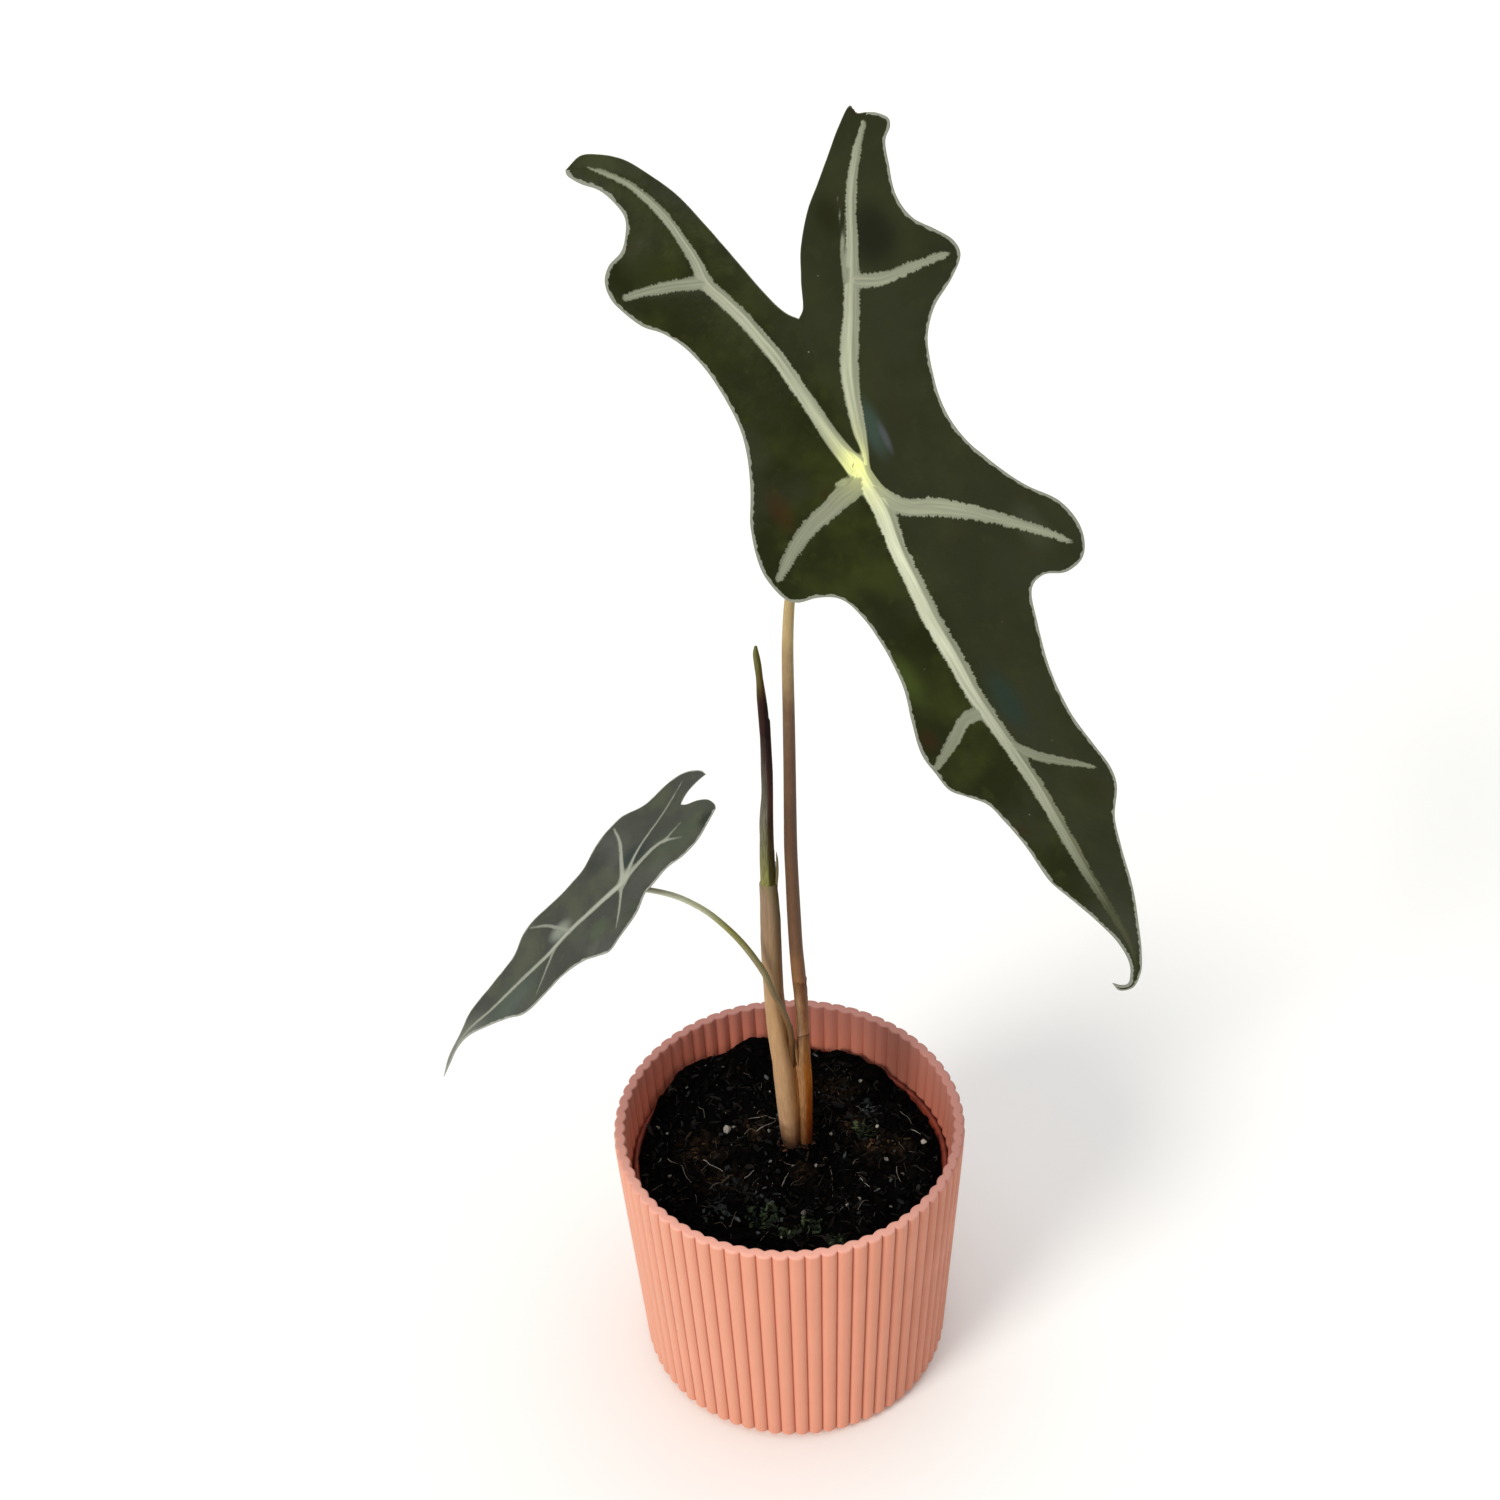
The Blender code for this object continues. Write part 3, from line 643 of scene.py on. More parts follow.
    def scatter(self, name: str, grains: Iterable[tuple[float, float, Vector, float, float]], faces: int,
                finish: Finish, rng: random.Random, jag: float, tip: float = 0.35) -> None:
        """Lay many irregular grains on the bed as one piece.

        Args:
            name: the piece's name.
            grains: for each, its x and y, half sizes, how deep it sits (0 to 1) and its shade.
            faces: 1 for a coarse grain of 20 faces, 2 for one of 80.
            finish: the grains' finish.
            rng: the source of their turns and dents.
            jag: how far a corner strays, as a share of the grain's size.
            tip: how steeply the grains lie, in radians.
        """
        bm = bmesh.new()
        shade = bm.verts.layers.float.new("shade")
        for x, y, half, sunk, tone in grains:
            verts = bmesh.ops.create_icosphere(bm, subdivisions=faces, radius=1.0)["verts"]
            turn = Matrix.Rotation(rng.uniform(0, math.tau), 3, "Z")
            for axis in "XY":
                turn = turn @ Matrix.Rotation(rng.gauss(0, tip), 3, axis)
            rise = self.height(x, y) + half.z * (1 - 2 * sunk)
            for vert in verts:
                stray = 1 + rng.uniform(-jag, jag)
                local = Vector((vert.co.x * half.x, vert.co.y * half.y, vert.co.z * half.z)) * stray
                vert.co = (turn @ local + Vector((x, y, rise))) * MM
                vert[shade] = tone
        show(bm, name, finish, (), 25)

    def crumbs(self) -> None:
        """Lay peat crumbs, clods and bark chips all over the bed, paler where it is dry."""
        rng = random.Random(self.seed)
        peat = []
        for _ in range(self.crumb_count):
            size = 0.35 + 1.2 * rng.random() ** 2.2
            half = size * Vector((rng.uniform(0.8, 1.5), rng.uniform(0.4, 0.9), rng.uniform(0.3, 0.8)))
            x, y = self.spot(rng)
            peat.append((x, y, half, rng.uniform(0.0, 0.5), rng.random() ** 1.7 * self.dryness(x, y)))
        finish = Speckle("peat crumbs", "soil", 0.7, 1.4, 0.05,
                         ((0.0, "#010101"), (0.3, "#070503"), (0.6, "#20160c"), (1.0, "#4c3825")),
                         spot=0.9, relief=0.3)
        self.scatter("peat_crumbs", peat, 1, finish, rng, 0.3, 0.7)
        clods = []
        for _ in range(self.clod_count):
            size = rng.uniform(1.2, 3.2)
            half = Vector((size, size * rng.uniform(0.35, 0.8), size * rng.uniform(0.25, 0.5)))
            x, y = self.spot(rng)
            tone = (0.25 + 0.75 * rng.random()) * self.dryness(x, y) ** 1.6
            clods.append((x, y, half, rng.uniform(0.3, 0.65), 0.75 * tone))
        self.scatter("peat_clods", clods, 2, finish, rng, 0.24, 0.5)
        bark = []
        for _ in range(self.bark_count):
            long = rng.uniform(0.9, 3.6)
            half = Vector((long, long * rng.uniform(0.1, 0.42), rng.uniform(0.12, 0.4)))
            x, y = self.spot(rng)
            bark.append((x, y, half, rng.uniform(-0.6, 0.3), rng.random() ** 1.4 * self.dryness(x, y)))
        finish = Speckle("bark flakes", "soil", 0.55, 1.45, 0.12,
                         ((0.0, "#030202"), (0.4, "#100b07"), (0.7, "#2c2015"), (1.0, "#5a4936")),
                         spot=1.0, relief=0.3)
        self.scatter("bark_flakes", bark, 1, finish, rng, 0.2, 0.6)

    def litter(self) -> None:
        """Lay blue-grey flakes of old leaf on the bed, their blue-grey partly painted glints of light on damp
        litter, and reddish scraps round the stems' feet.
        """
        rng = random.Random(self.seed + 4)
        flakes = []
        for n in range(self.flake_count):
            x, y = self.spot(rng)
            if n % 5 < 3:
                middle_x, middle_y, spread = rng.choice(self.litter_spots)
                x, y = rng.gauss(middle_x, spread / 2), rng.gauss(middle_y, spread / 2)
            half = Vector((rng.uniform(0.9, 2.4), rng.uniform(0.35, 1.2), rng.uniform(0.1, 0.3)))
            flakes.append((x, y, half, rng.uniform(-1.2, 0.2), rng.random() ** 1.4))
        # The flakes' pale blue-grey is partly a painted glint, light caught on damp litter.
        finish = Speckle("leaf litter with painted glints", "soil", 0.5, 1.42, 0.2,
                         ((0.0, "#050606"), (0.5, "#141817"), (0.8, "#2a2f2e"), (1.0, "#4a504e")),
                         spot=0.9, relief=0.2)
        self.scatter("leaf_litter", flakes, 1, finish, rng, 0.22, 0.6)
        scraps = []
        for foot_x, foot_y in self.stem_feet:
            for _ in range(self.scrap_count):
                angle, away = rng.uniform(0, math.tau), rng.uniform(2.9, 5.4)
                half = Vector((rng.uniform(0.4, 1.3), rng.uniform(0.25, 0.6), rng.uniform(0.2, 0.6)))
                scraps.append((foot_x + away * math.cos(angle), foot_y + away * math.sin(angle), half,
                               rng.uniform(-0.8, 0.2), rng.random() ** 1.5))
        finish = Speckle("scraps of old sheath", "soil", 0.6, 1.45, 0.2,
                         ((0.0, "#0a0403"), (0.5, "#1c0c07"), (0.8, "#351a10"), (1.0, "#553422")),
                         spot=0.8, relief=0.25)
        self.scatter("sheath_scraps", scraps, 1, finish, rng, 0.25, 0.9)

    def perlite(self) -> None:
        """Lay the pale volcanic grains, dirty from the peat."""
        rng = random.Random(self.seed + 1)
        grains = []
        for x, y, size in self.perlite_spots:
            half = Vector((size, size * rng.uniform(0.6, 0.9), size * rng.uniform(0.5, 0.8)))
            grains.append((x, y, half, 0.25, rng.uniform(0.45, 1.0)))
        for _ in range(self.perlite_count):
            size = rng.uniform(0.2, 0.45)
            half = size * Vector((1.0, 0.8, 0.6))
            grains.append((*self.spot(rng), half, 0.1, 0.7 * rng.random() ** 1.6))
        finish = Speckle("perlite grains", "soil", 0.8, 1.5, 0.3,
                         ((0.0, "#26231f"), (0.6, "#5e5a52"), (1.0, "#a39e94")),
                         spot=0.4, relief=0.3)
        self.scatter("perlite_grains", grains, 2, finish, rng, 0.2)

    def moss(self) -> None:
        """Lay cushions of tiny moss leaves on a few spots."""
        rng = random.Random(self.seed + 2)
        leaves = []
        for x, y, spread in self.moss_spots:
            for _ in range(int(spread * 8)):
                away, angle = spread * rng.random() ** 0.7, rng.uniform(0, math.tau)
                half = Vector((rng.uniform(1.2, 3.0), rng.uniform(0.6, 1.3), rng.uniform(0.12, 0.3)))
                leaves.append((x + away * math.cos(angle), y + away * math.sin(angle) * 0.8, half,
                               rng.uniform(-1.8, 0.1), rng.random() ** 1.5))
        finish = Speckle("moss leaves", "soil", 0.55, 1.45, 0.12,
                         ((0.0, "#070b06"), (0.4, "#171f10"), (0.8, "#2e3a22"), (1.0, "#4a5538")),
                         spot=0.8, relief=0.1)
        self.scatter("moss_cushions", leaves, 1, finish, rng, 0.1, 0.7)

    def straws(self) -> None:
        """Lay thin dry fibres, some given one by one where they lie and the rest strewn."""
        rng = random.Random(self.seed + 3)
        runs = [(a, b, c, d, 0.15, rng.uniform(0.65, 1.0)) for a, b, c, d in self.straw_spots]
        for _ in range(self.straw_count):
            x, y = self.spot(rng)
            angle, long = rng.uniform(0, math.tau), rng.uniform(1.5, 6.0)
            end = (x + long * math.cos(angle), y + long * math.sin(angle))
            if math.hypot(*end) < self.radius - 2:
                runs.append((x, y, *end, rng.uniform(0.06, 0.14), 0.8 * rng.random() ** 1.8))
        bm = bmesh.new()
        shade = bm.verts.layers.float.new("shade")
        for x0, y0, x1, y1, thick, tone in runs:
            bow = rng.uniform(-0.14, 0.14) * math.hypot(x1 - x0, y1 - y0)
            lift = rng.uniform(0.2, 1.4)
            side = Vector((y0 - y1, x1 - x0)).normalized()
            path = []
            for n in range(7):
                s = n / 6
                x = x0 + (x1 - x0) * s + side.x * bow * math.sin(math.pi * s)
                y = y0 + (y1 - y0) * s + side.y * bow * math.sin(math.pi * s)
                z = self.height(x, y) + 0.9 + lift * math.sin(math.pi * s * 0.9)
                path.append((x, y, z, thick * (1 - 0.5 * s)))
            for vert in sweep(bm, path, 5, 6):
                vert[shade] = tone
        finish = Speckle("dry fibres", "soil", 0.55, 1.45, 0.4,
                         ((0.0, "#18120c"), (0.5, "#352d25"), (0.85, "#645c52"), (1.0, "#989287")),
                         spot=1.2, relief=0.05)
        show(bm, "dry_fibres", finish)

    def build(self) -> None:
        """Make the bed and everything that lies on it."""
        self.bed()
        self.crumbs()
        self.litter()
        self.perlite()
        self.moss()
        self.straws()


# ---- stems

def sweep(bm: Mesh, path: Sequence[Point], sides: int, rungs: int,
          section: Section | None = None) -> list[bmesh.types.BMVert]:
    """Draw a capped tube along a path, in metres.

    Args:
        bm: the mesh to add to.
        path: (x, y, z, radius) points in mm.
        sides: how many sides the tube has.
        rungs: how many rings follow the first.
        section: radius factor from (share of the path, angle from the front, height), if not round.

    Returns:
        The tube's vertices. Each has a "skin" value: cos and sin of its angle, and mm along.
    """
    skin = bm.verts.layers.float_vector.get("skin") or bm.verts.layers.float_vector.new("skin")
    made: list[bmesh.types.BMVert] = []
    front = Vector((0.0, -1.0, 0.0))
    travelled, behind = 0.0, None
    edges: list[bmesh.types.BMEdge] = []
    for rung in range(rungs + 1):
        share = rung / rungs
        t = (len(path) - 1) * share
        x, y, z, radius = curve_point(path, t)
        here = Vector((x, y, z))
        ahead = curve_point(path, min(t + 0.02, len(path) - 1)).xyz
        back = curve_point(path, max(t - 0.02, 0)).xyz
        tangent = (ahead - back).normalized()
        front = (front - tangent * front.dot(tangent)).normalized()
        right = tangent.cross(front)
        travelled += (here - behind).length if behind else 0.0
        behind = here
        if rung == 0:
            ring = bmesh.ops.create_circle(bm, cap_ends=True, segments=sides, radius=1.0)["verts"]
            edges = list({edge for vert in ring for edge in vert.link_edges})
            angles = {vert: math.atan2(vert.co.y, vert.co.x) for vert in ring}
        else:
            grown = bmesh.ops.extrude_edge_only(bm, edges=edges)["geom"]
            fresh = [g for g in grown if isinstance(g, bmesh.types.BMVert)]
            edges = [g for g in grown if isinstance(g, bmesh.types.BMEdge)]
            parents = {vert: next(e.other_vert(vert) for e in vert.link_edges if e.other_vert(vert) in angles)
                       for vert in fresh}
            angles = {vert: angles[parents[vert]] for vert in fresh}
        for vert, angle in angles.items():
            factor = section(share, angle, z) if section else 1.0
            out = front * math.cos(angle) + right * math.sin(angle)
            vert.co = (here + out * radius * factor) * MM
            vert[skin] = (math.cos(angle), math.sin(angle), travelled)
            made.append(vert)
    bmesh.ops.edgeloop_fill(bm, edges=edges)
    faces = list({face for vert in made for face in vert.link_faces})
    bmesh.ops.recalc_face_normals(bm, faces=faces)
    return made


@dataclass(frozen=True)
class StemSkin(Finish):
    """Smooth plant skin whose colour changes up the stem, with streaks along it.

    Attributes:
        low, high: the heights between which the ramps run.
        lit, shaded: (height, colour) stops for the painted-lit and the painted-shaded side of one skin.
        streak, streak_length, contrast: how wide, long and strong the streaks are.
        turns: where the bright side turns into the dark one, from -1 on the left to 1.
    """

    low: float = 0.0
    high: float = 1.0
    lit: Stops = ()
    shaded: Stops = ()
    streak: float = 0.5
    streak_length: float = 14.0
    contrast: float = 0.35
    turns: Pair = (-0.2, 0.9)

    def paint(self, tree: Tree, shader: Node) -> None:
        """Run two colour ramps up the stem, one for its left and one for its right, with streaks.

        Args:
            tree: the material's node tree.
            shader: its Principled shader.
        """
        place = add_node(tree, "TexCoord").outputs["Object"]
        height = add_node(tree, "SeparateXYZ", {"Vector": place}).outputs["Z"]
        skin = add_node(tree, "Attribute", attribute_name="skin")
        parts = add_node(tree, "SeparateXYZ", {"Vector": skin.outputs["Vector"]})
        wander = add_node(tree, "TexNoise", {"Vector": place, "Scale": 90.0, "Detail": 3.0})
        shift = add_node(tree, "MapRange", {
            "Value": wander.outputs["Fac"], "To Min": -0.07, "To Max": 0.07})
        share = add_node(tree, "MapRange", {
            "Value": height, "From Min": self.low * MM, "From Max": self.high * MM})
        uneven = add_node(tree, "Math", {
            0: share.outputs["Result"], 1: shift.outputs["Result"]}, operation="ADD", use_clamp=True)
        ramps = []
        for stops in (self.lit, self.shaded):
            pairs = [((z - self.low) / (self.high - self.low), linear(code)) for z, code in stops]
            ramps.append(add_node(tree, "ValToRGB", {
                "Fac": uneven.outputs["Value"]}, stops=pairs).outputs["Color"])
        # The stem's left takes the lit ramp and its right the shaded one: light and shade painted round the
        # stem.
        side = add_node(tree, "MapRange", {
            "Value": parts.outputs["Y"], "From Min": self.turns[0], "From Max": self.turns[1]}, **EASED)
        both = add_node(tree, "Mix", {
            FACTOR: side.outputs["Result"], FIRST: ramps[0], SECOND: ramps[1]}, **COLOURS)
        long = add_node(tree, "VectorMath", {
            0: skin.outputs["Vector"], 1: (1 / self.streak, 1 / self.streak, 1 / self.streak_length)},
            operation="MULTIPLY")
        fibres = add_node(tree, "TexNoise", {
            "Vector": long.outputs["Vector"], "Scale": 3.0, "Detail": 5.0, "Roughness": 0.6})
        tone = add_node(tree, "MapRange", {
            "Value": fibres.outputs["Fac"], "From Min": 0.3, "From Max": 0.7,
            "To Min": 1 - self.contrast, "To Max": 1 + self.contrast})
        shaded = add_node(tree, "VectorMath", {
            0: both.outputs[MIXED], "Scale": tone.outputs["Result"]}, operation="SCALE")
        tree.links.new(shaded.outputs["Vector"], shader.inputs["Base Color"])
        bump = add_node(tree, "Bump", {
            "Height": fibres.outputs["Fac"], "Strength": 0.6, "Distance": 0.3 * MM})
        tree.links.new(bump.outputs["Normal"], shader.inputs["Normal"])
        shader.inputs["Subsurface Weight"].default_value = 0.1
        shader.inputs["Subsurface Radius"].default_value = (2 * MM, 1.2 * MM, 0.5 * MM)


@dataclass
class Stems:
    """The sheath with its rolled spear, both petioles and the dry wrap at the large one's foot.

    Attributes:
        sheath, spear, large, small, wrap: each stem's (x, y, z, radius) from its foot up.
        collar, flap: the sheath's rim and pointed flap, from its end; the collar's radii add to it.
        foot: the short sheath at the small petiole's foot.
        lap, sliver: the wrap's loose left edge and the torn sliver over it.
    """

    sheath: Points = (
        (1.0, 4.2, 85.3, 2.8), (1.0, 4.0, 99, 3.3), (0.7, 4, 105, 3.9), (0.2, 4, 119, 4.4),
        (-0.5, 4, 132, 4.45), (-1.2, 4, 147, 4.45), (-2.8, 4, 163, 4.15), (-3.85, 4, 178, 3.66),
        (-4.2, 4, 190, 3.62), (-4.35, 4, 204, 3.73), (-4.25, 4, 218, 3.62), (-4.3, 4, 229, 3.34),
        (-4.45, 4, 236, 3.15))
    collar: Points = (
        (0, 0, -1.2, 0.05), (0, 0, -0.3, 0.06), (0, 0, 0.3, -0.08), (0, 0, 0.8, -0.4))
    flap: Points = (
        (2.7, -0.5, -6, 0.5), (2.9, -0.5, 0, 0.62), (3.3, -0.5, 4, 0.6), (3.55, -0.4, 8, 0.48),
        (3.55, -0.4, 11.7, 0.36), (3.4, -0.3, 14.5, 0.1))
    spear: Points = (
        (-4.4, 4, 222, 2.5), (-4.4, 4, 230, 2.8), (-4.4, 4, 236, 2.95), (-4.42, 4, 243, 2.9),
        (-4.4, 4, 250, 2.82), (-4.3, 4, 256, 2.64), (-4.2, 4, 262, 2.55), (-3.9, 4, 269, 2.3),
        (-3.55, 4, 277, 2.05), (-3.5, 4, 287, 1.96), (-3.5, 4, 300, 1.8), (-3.65, 4, 307, 1.85),
        (-3.8, 4, 312, 1.84), (-4.15, 4, 318, 1.65), (-4.5, 4, 325, 1.24), (-4.95, 4, 331, 1.25),
        (-5.35, 4, 335, 1.05), (-5.4, 4, 338, 0.5))
    large: Points = (
        (6.2, 4.2, 85.3, 2.1), (6.2, 4, 99, 2.3), (6.4, 4, 124, 2.2), (6.5, 4, 146, 2.1), (6.3, 4, 167, 2.2),
        (6.1, 4, 180, 2.5), (5.55, 4, 192, 2.68), (4.95, 4, 204, 2.58),
        (4.53, 4, 221, 2.54), (4.26, 4, 238, 2.42), (4.1, 4, 252, 2.39), (4.25, 4, 265, 2.31),
        (4.56, 4, 286, 2.19), (4.82, 4, 310, 2.1), (4.95, 4, 327, 2.02), (5.15, 4, 338, 1.95),
        (5.8, 4, 350, 1.82), (6.4, 4, 356, 1.75), (9.3, 3.2, 374, 1.6), (15.0, 0.0, 393, 1.55),
        (22.4, -7.0, 409, 1.5),
        (26.6, -15.5, 416.2, 1.5), (27.1, -22.0, 417.8, 1.6), (27.0, -24.3, 418.2, 1.9))
    small: Points = (
        (2.0, 1.0, 156, 0.7), (2.1, -0.3, 163, 1.0), (1.5, -1.5, 169, 1.1), (-1.1, -2.2, 180, 1.1),
        (-4.2, -2.6, 188.6, 1.15), (-7.0, -3.2, 198.6, 1.25), (-10.7, -4.0, 207.5, 1.27),
        (-15.2, -5.0, 216.6, 1.22), (-20.3, -6.0, 224.9, 1.12), (-26.4, -7.0, 233.0, 1.07),
        (-32.4, -8.3, 239.2, 1.05), (-38.2, -9.5, 243.8, 1.05), (-45.6, -11.0, 247.8, 1.0),
        (-51.0, -11.2, 249.2, 1.0), (-54.9, -11.7, 251.6, 1.0))
    foot: Points = (
        (2.2, 2.4, 141, 0.5), (2.3, 1.6, 149, 0.85), (2.1, 0.7, 157, 1.15), (2.1, -0.4, 163, 1.2),
        (1.5, -1.5, 170, 1.15))
    wrap: Points = (
        (6.5, 4, 97, 2.45), (6.5, 4, 104, 2.65), (6.65, 4, 119, 2.85), (6.6, 4, 135, 3.1), (6.2, 4, 146, 3.1),
        (6.5, 4, 155, 2.8), (6.25, 4, 167, 2.65), (6.1, 4, 179, 2.75), (5.7, 4, 189, 2.75))
    lap: Points = (
        (4.3, 3.9, 92, 0.9), (4.5, 3.6, 103, 1.25), (4.4, 3.3, 119, 1.3), (3.6, 3.0, 134, 1.1),
        (3.0, 2.8, 145, 0.8), (2.9, 2.6, 150, 0.3))
    sliver: Points = (
        (4.4, 1.5, 144.5, 0.1), (4.1, 1.3, 149, 0.5), (3.8, 1.1, 155, 0.6), (3.7, 1.1, 160.5, 0.2))

    def sheath_section(self, share: float, angle: float, z: float) -> float:
        """Round, with the lapped edge of the sheath running up its right side.

        Args:
            share: the place along the stem, from 0 to 1.
            angle: the place round it, from the front.
            z: its height in mm.

        Returns:
            The radius, as a share of the round stem's.
        """
        lap = math.radians(62 + 25 * math.sin(share * 3.0))
        across = (angle - lap) % math.tau
        step = 0.09 * math.exp(-across / 0.9)
        return 1.0 + step + 0.03 * lumps(math.cos(angle), math.sin(angle), z / 9, 0.8)

    def spear_section(self, share: float, angle: float, z: float) -> float:
        """A blade rolled on itself: its outer edge winds slowly round the spear.

        Args:
            share: the place along the stem, from 0 to 1.
            angle: the place round it, from the front.
            z: its height in mm.

        Returns:
            The radius, as a share of the round stem's.
        """
        edge = math.radians(70) + 3.4 * share
        across = (angle - edge) % math.tau
        lap = 0.16 * math.exp(-across / 1.1)
        notch = 0.22 * smooth_step((309 - z) / 1.5) * max(math.cos(angle - math.radians(90)), 0) ** 2
        bump = 0.08 * math.exp(-((z - 267) / 6) ** 2) * max(math.cos(angle + math.radians(90)), 0) ** 2
        return 0.93 + lap + (notch if z > 285 else notch * math.exp((z - 285) / 14)) + bump

    def pale_sheath(self) -> None:
        """Make the pale sheath with its collar and the pointed flap on its right."""
        bm = bmesh.new()
        sweep(bm, self.sheath, 40, 150, self.sheath_section)
        x, y, z, radius = self.sheath[-1]
        sweep(bm, [(x + dx, y + dy, z + dz, radius + more) for dx, dy, dz, more in self.collar], 40, 8)
        sweep(bm, [(x + dx, y + dy, z + dz, thick) for dx, dy, dz, thick in self.flap], 10, 24)
        # The lowest stops darken the foot in painted shade, where it stands in the soil.
        lit = ((99, "#180c06"), (108, "#785840"), (116, "#c09a74"), (175, "#b08c64"), (228, "#8c745c"),
               (246, "#766e44"))
        shaded = ((99, "#120804"), (108, "#6a4428"), (123, "#a67440"), (150, "#7a502a"), (168, "#8a6238"),
                  (196, "#6a4a26"), (246, "#50482c"))
        finish = StemSkin("pale leaf sheath", "pale_sheath", 0.5, 1.42, 0.25, low=95.0, high=250.0,
                          lit=lit, shaded=shaded, streak=0.5, streak_length=22.0, contrast=0.16)
        show(bm, "pale_sheath", finish, ["stem_sheath"], 50)

    def rolled_spear(self) -> None:
        """Make the unopened leaf, rolled into a spear."""
        bm = bmesh.new()
        sweep(bm, self.spear, 40, 190, self.spear_section)
        # The lit ramp's greys on the left are partly painted sheen; the tight turns split the spear into a
        # painted-lit left and a painted-shaded right.
        lit = ((236, "#7c7c40"), (266, "#646052"), (302, "#2c1818"), (316, "#301a12"), (326, "#585028"),
               (338, "#686a3a"))
        shaded = ((236, "#3a360c"), (264, "#30200e"), (276, "#3a221a"), (302, "#160808"), (314, "#1e0c06"),
                  (326, "#503c1c"), (338, "#565828"))
        finish = StemSkin("rolled young blade", "spear_skin", 0.45, 1.45, 0.08, low=230.0, high=340.0,
                          lit=lit, shaded=shaded, streak=0.45, streak_length=18.0, contrast=0.5,
                          turns=(-0.15, 0.3))
        show(bm, "rolled_leaf_spear", finish, ["leaf_spear"], 50)

    def large_petiole(self) -> None:
        """Make the large leaf's petiole, from the soil to the back of its blade."""
        bm = bmesh.new()
        sweep(bm, self.large, 32, 300)
        lit = ((99, "#482008"), (131, "#8a5424"), (172, "#a27244"), (206, "#6c4e38"), (264, "#5c422e"),
               (305, "#6a503a"), (347, "#b0986c"), (400, "#9a925a"))
        shaded = ((99, "#361404"), (131, "#7a461c"), (172, "#804c2a"), (206, "#5e4028"), (264, "#523a2c"),
                  (305, "#5e4434"), (347, "#a69066"), (400, "#867e4c"))
        finish = StemSkin("mauve petiole skin", "large_petiole_skin", 0.45, 1.42, 0.2, low=95.0, high=410.0,
                          lit=lit, shaded=shaded, streak=0.7, streak_length=10.0, contrast=0.14)
        show(bm, "large_leaf_petiole_skin", finish, ["large_leaf_petiole"])

    def small_petiole(self) -> None:
        """Make the small leaf's thin petiole and the short sheath at its foot."""
        bm = bmesh.new()
        sweep(bm, self.small, 20, 130)
        sweep(bm, self.foot, 20, 40)
        # The pale stops at 245 and 250 mm are partly painted light on the end near the leaf, which the lamp
        # only grazes.
        lit = ((140, "#3c2410"), (160, "#6e5030"), (178, "#745634"), (208, "#8e8462"), (222, "#929054"),
               (245, "#d6dac0"), (250, "#c4c4b0"), (254, "#78766a"))
        shaded = ((140, "#2c180a"), (160, "#523818"), (195, "#645a3a"), (222, "#787638"), (245, "#babc9c"),
                  (250, "#aeac92"), (254, "#545248"))
        finish = StemSkin("olive petiole skin", "small_petiole_skin", 0.45, 1.42, 0.4, low=138.0, high=254.0,
                          lit=lit, shaded=shaded, streak=0.8, streak_length=8.0, contrast=0.16)
        show(bm, "small_leaf_petiole_skin", finish, ["small_leaf_petiole"])

    def dry_wrap(self) -> None:
        """Make the papery remains wrapped round the large petiole's foot."""
        bm = bmesh.new()
        skin = bm.verts.layers.float_vector.new("skin")
        columns, rows = 40, 170
        verts = bmesh.ops.create_grid(bm, x_segments=columns, y_segments=rows, size=0.5)["verts"]
        for vert in verts:
            s, t = vert.co.x + 0.5, vert.co.y + 0.5
            x, y, z, radius = curve_point(self.wrap, t * (len(self.wrap) - 1))
            ragged = 10 * lumps(z, 0.0, 2.0, 7.0) + 5 * lumps(z, 0.0, 7.0, 1.7)
            start = -38 - 60 * smooth_step((149 - z) / 12)
            angle = math.radians(start + ragged * (1 - s) + (155 - start + ragged) * s)
            crinkle = 0.13 * lumps(s * 5, 0.0, z / 4.2, 0.5)
            ledge = 0.3 * smooth_step((z - 160 - 0.9 * math.sin(angle)) / 0.7) * smooth_step((169 - z) / 8)
            radius += crinkle + ledge + 0.25 * max(1 - s * 6, 0) + 0.3 * max(t - 0.97, 0) * 16
            top = 2.2 * lumps(s * 6, 4.0, 0.0, 0.9) * max(t - 0.9, 0) * 10
            vert.co = Vector((x + radius * math.sin(angle), y - radius * math.cos(angle), z + top)) * MM
            vert[skin] = (math.cos(angle), math.sin(angle), z - 97)
        bmesh.ops.recalc_face_normals(bm, faces=bm.faces)
        bmesh.ops.solidify(bm, geom=list(bm.faces), thickness=0.14 * MM)
        sweep(bm, self.lap, 16, 60)
        sweep(bm, self.sliver, 8, 20)
        # The dark stops at 159.3 to 161 mm are a painted shadow under the ledge at 160 mm.
        lit = ((97, "#261206"), (108, "#7a522e"), (128, "#a4784e"), (159.3, "#94704e"), (160, "#543620"),
               (161, "#b08a6a"), (192, "#704a28"))
        shaded = ((97, "#200e04"), (117, "#8c420a"), (140, "#985812"), (159.3, "#784c28"), (160, "#3a200c"),
                  (161, "#86562e"), (192, "#502c12"))
        finish = StemSkin("dry papery sheath", "dry_papery_sheath", 0.5, 1.45, 0.25, low=95.0, high=194.0,
                          lit=lit, shaded=shaded, streak=0.3, streak_length=14.0, contrast=0.48,
                          turns=(-0.3, 0.4))
        show(bm, "dry_papery_wrap", finish, ["dry_sheath"], 60)

    def build(self) -> None:
        """Make every stem."""
        self.pale_sheath()
        self.rolled_spear()
        self.large_petiole()
        self.small_petiole()
        self.dry_wrap()


# ---- leaves

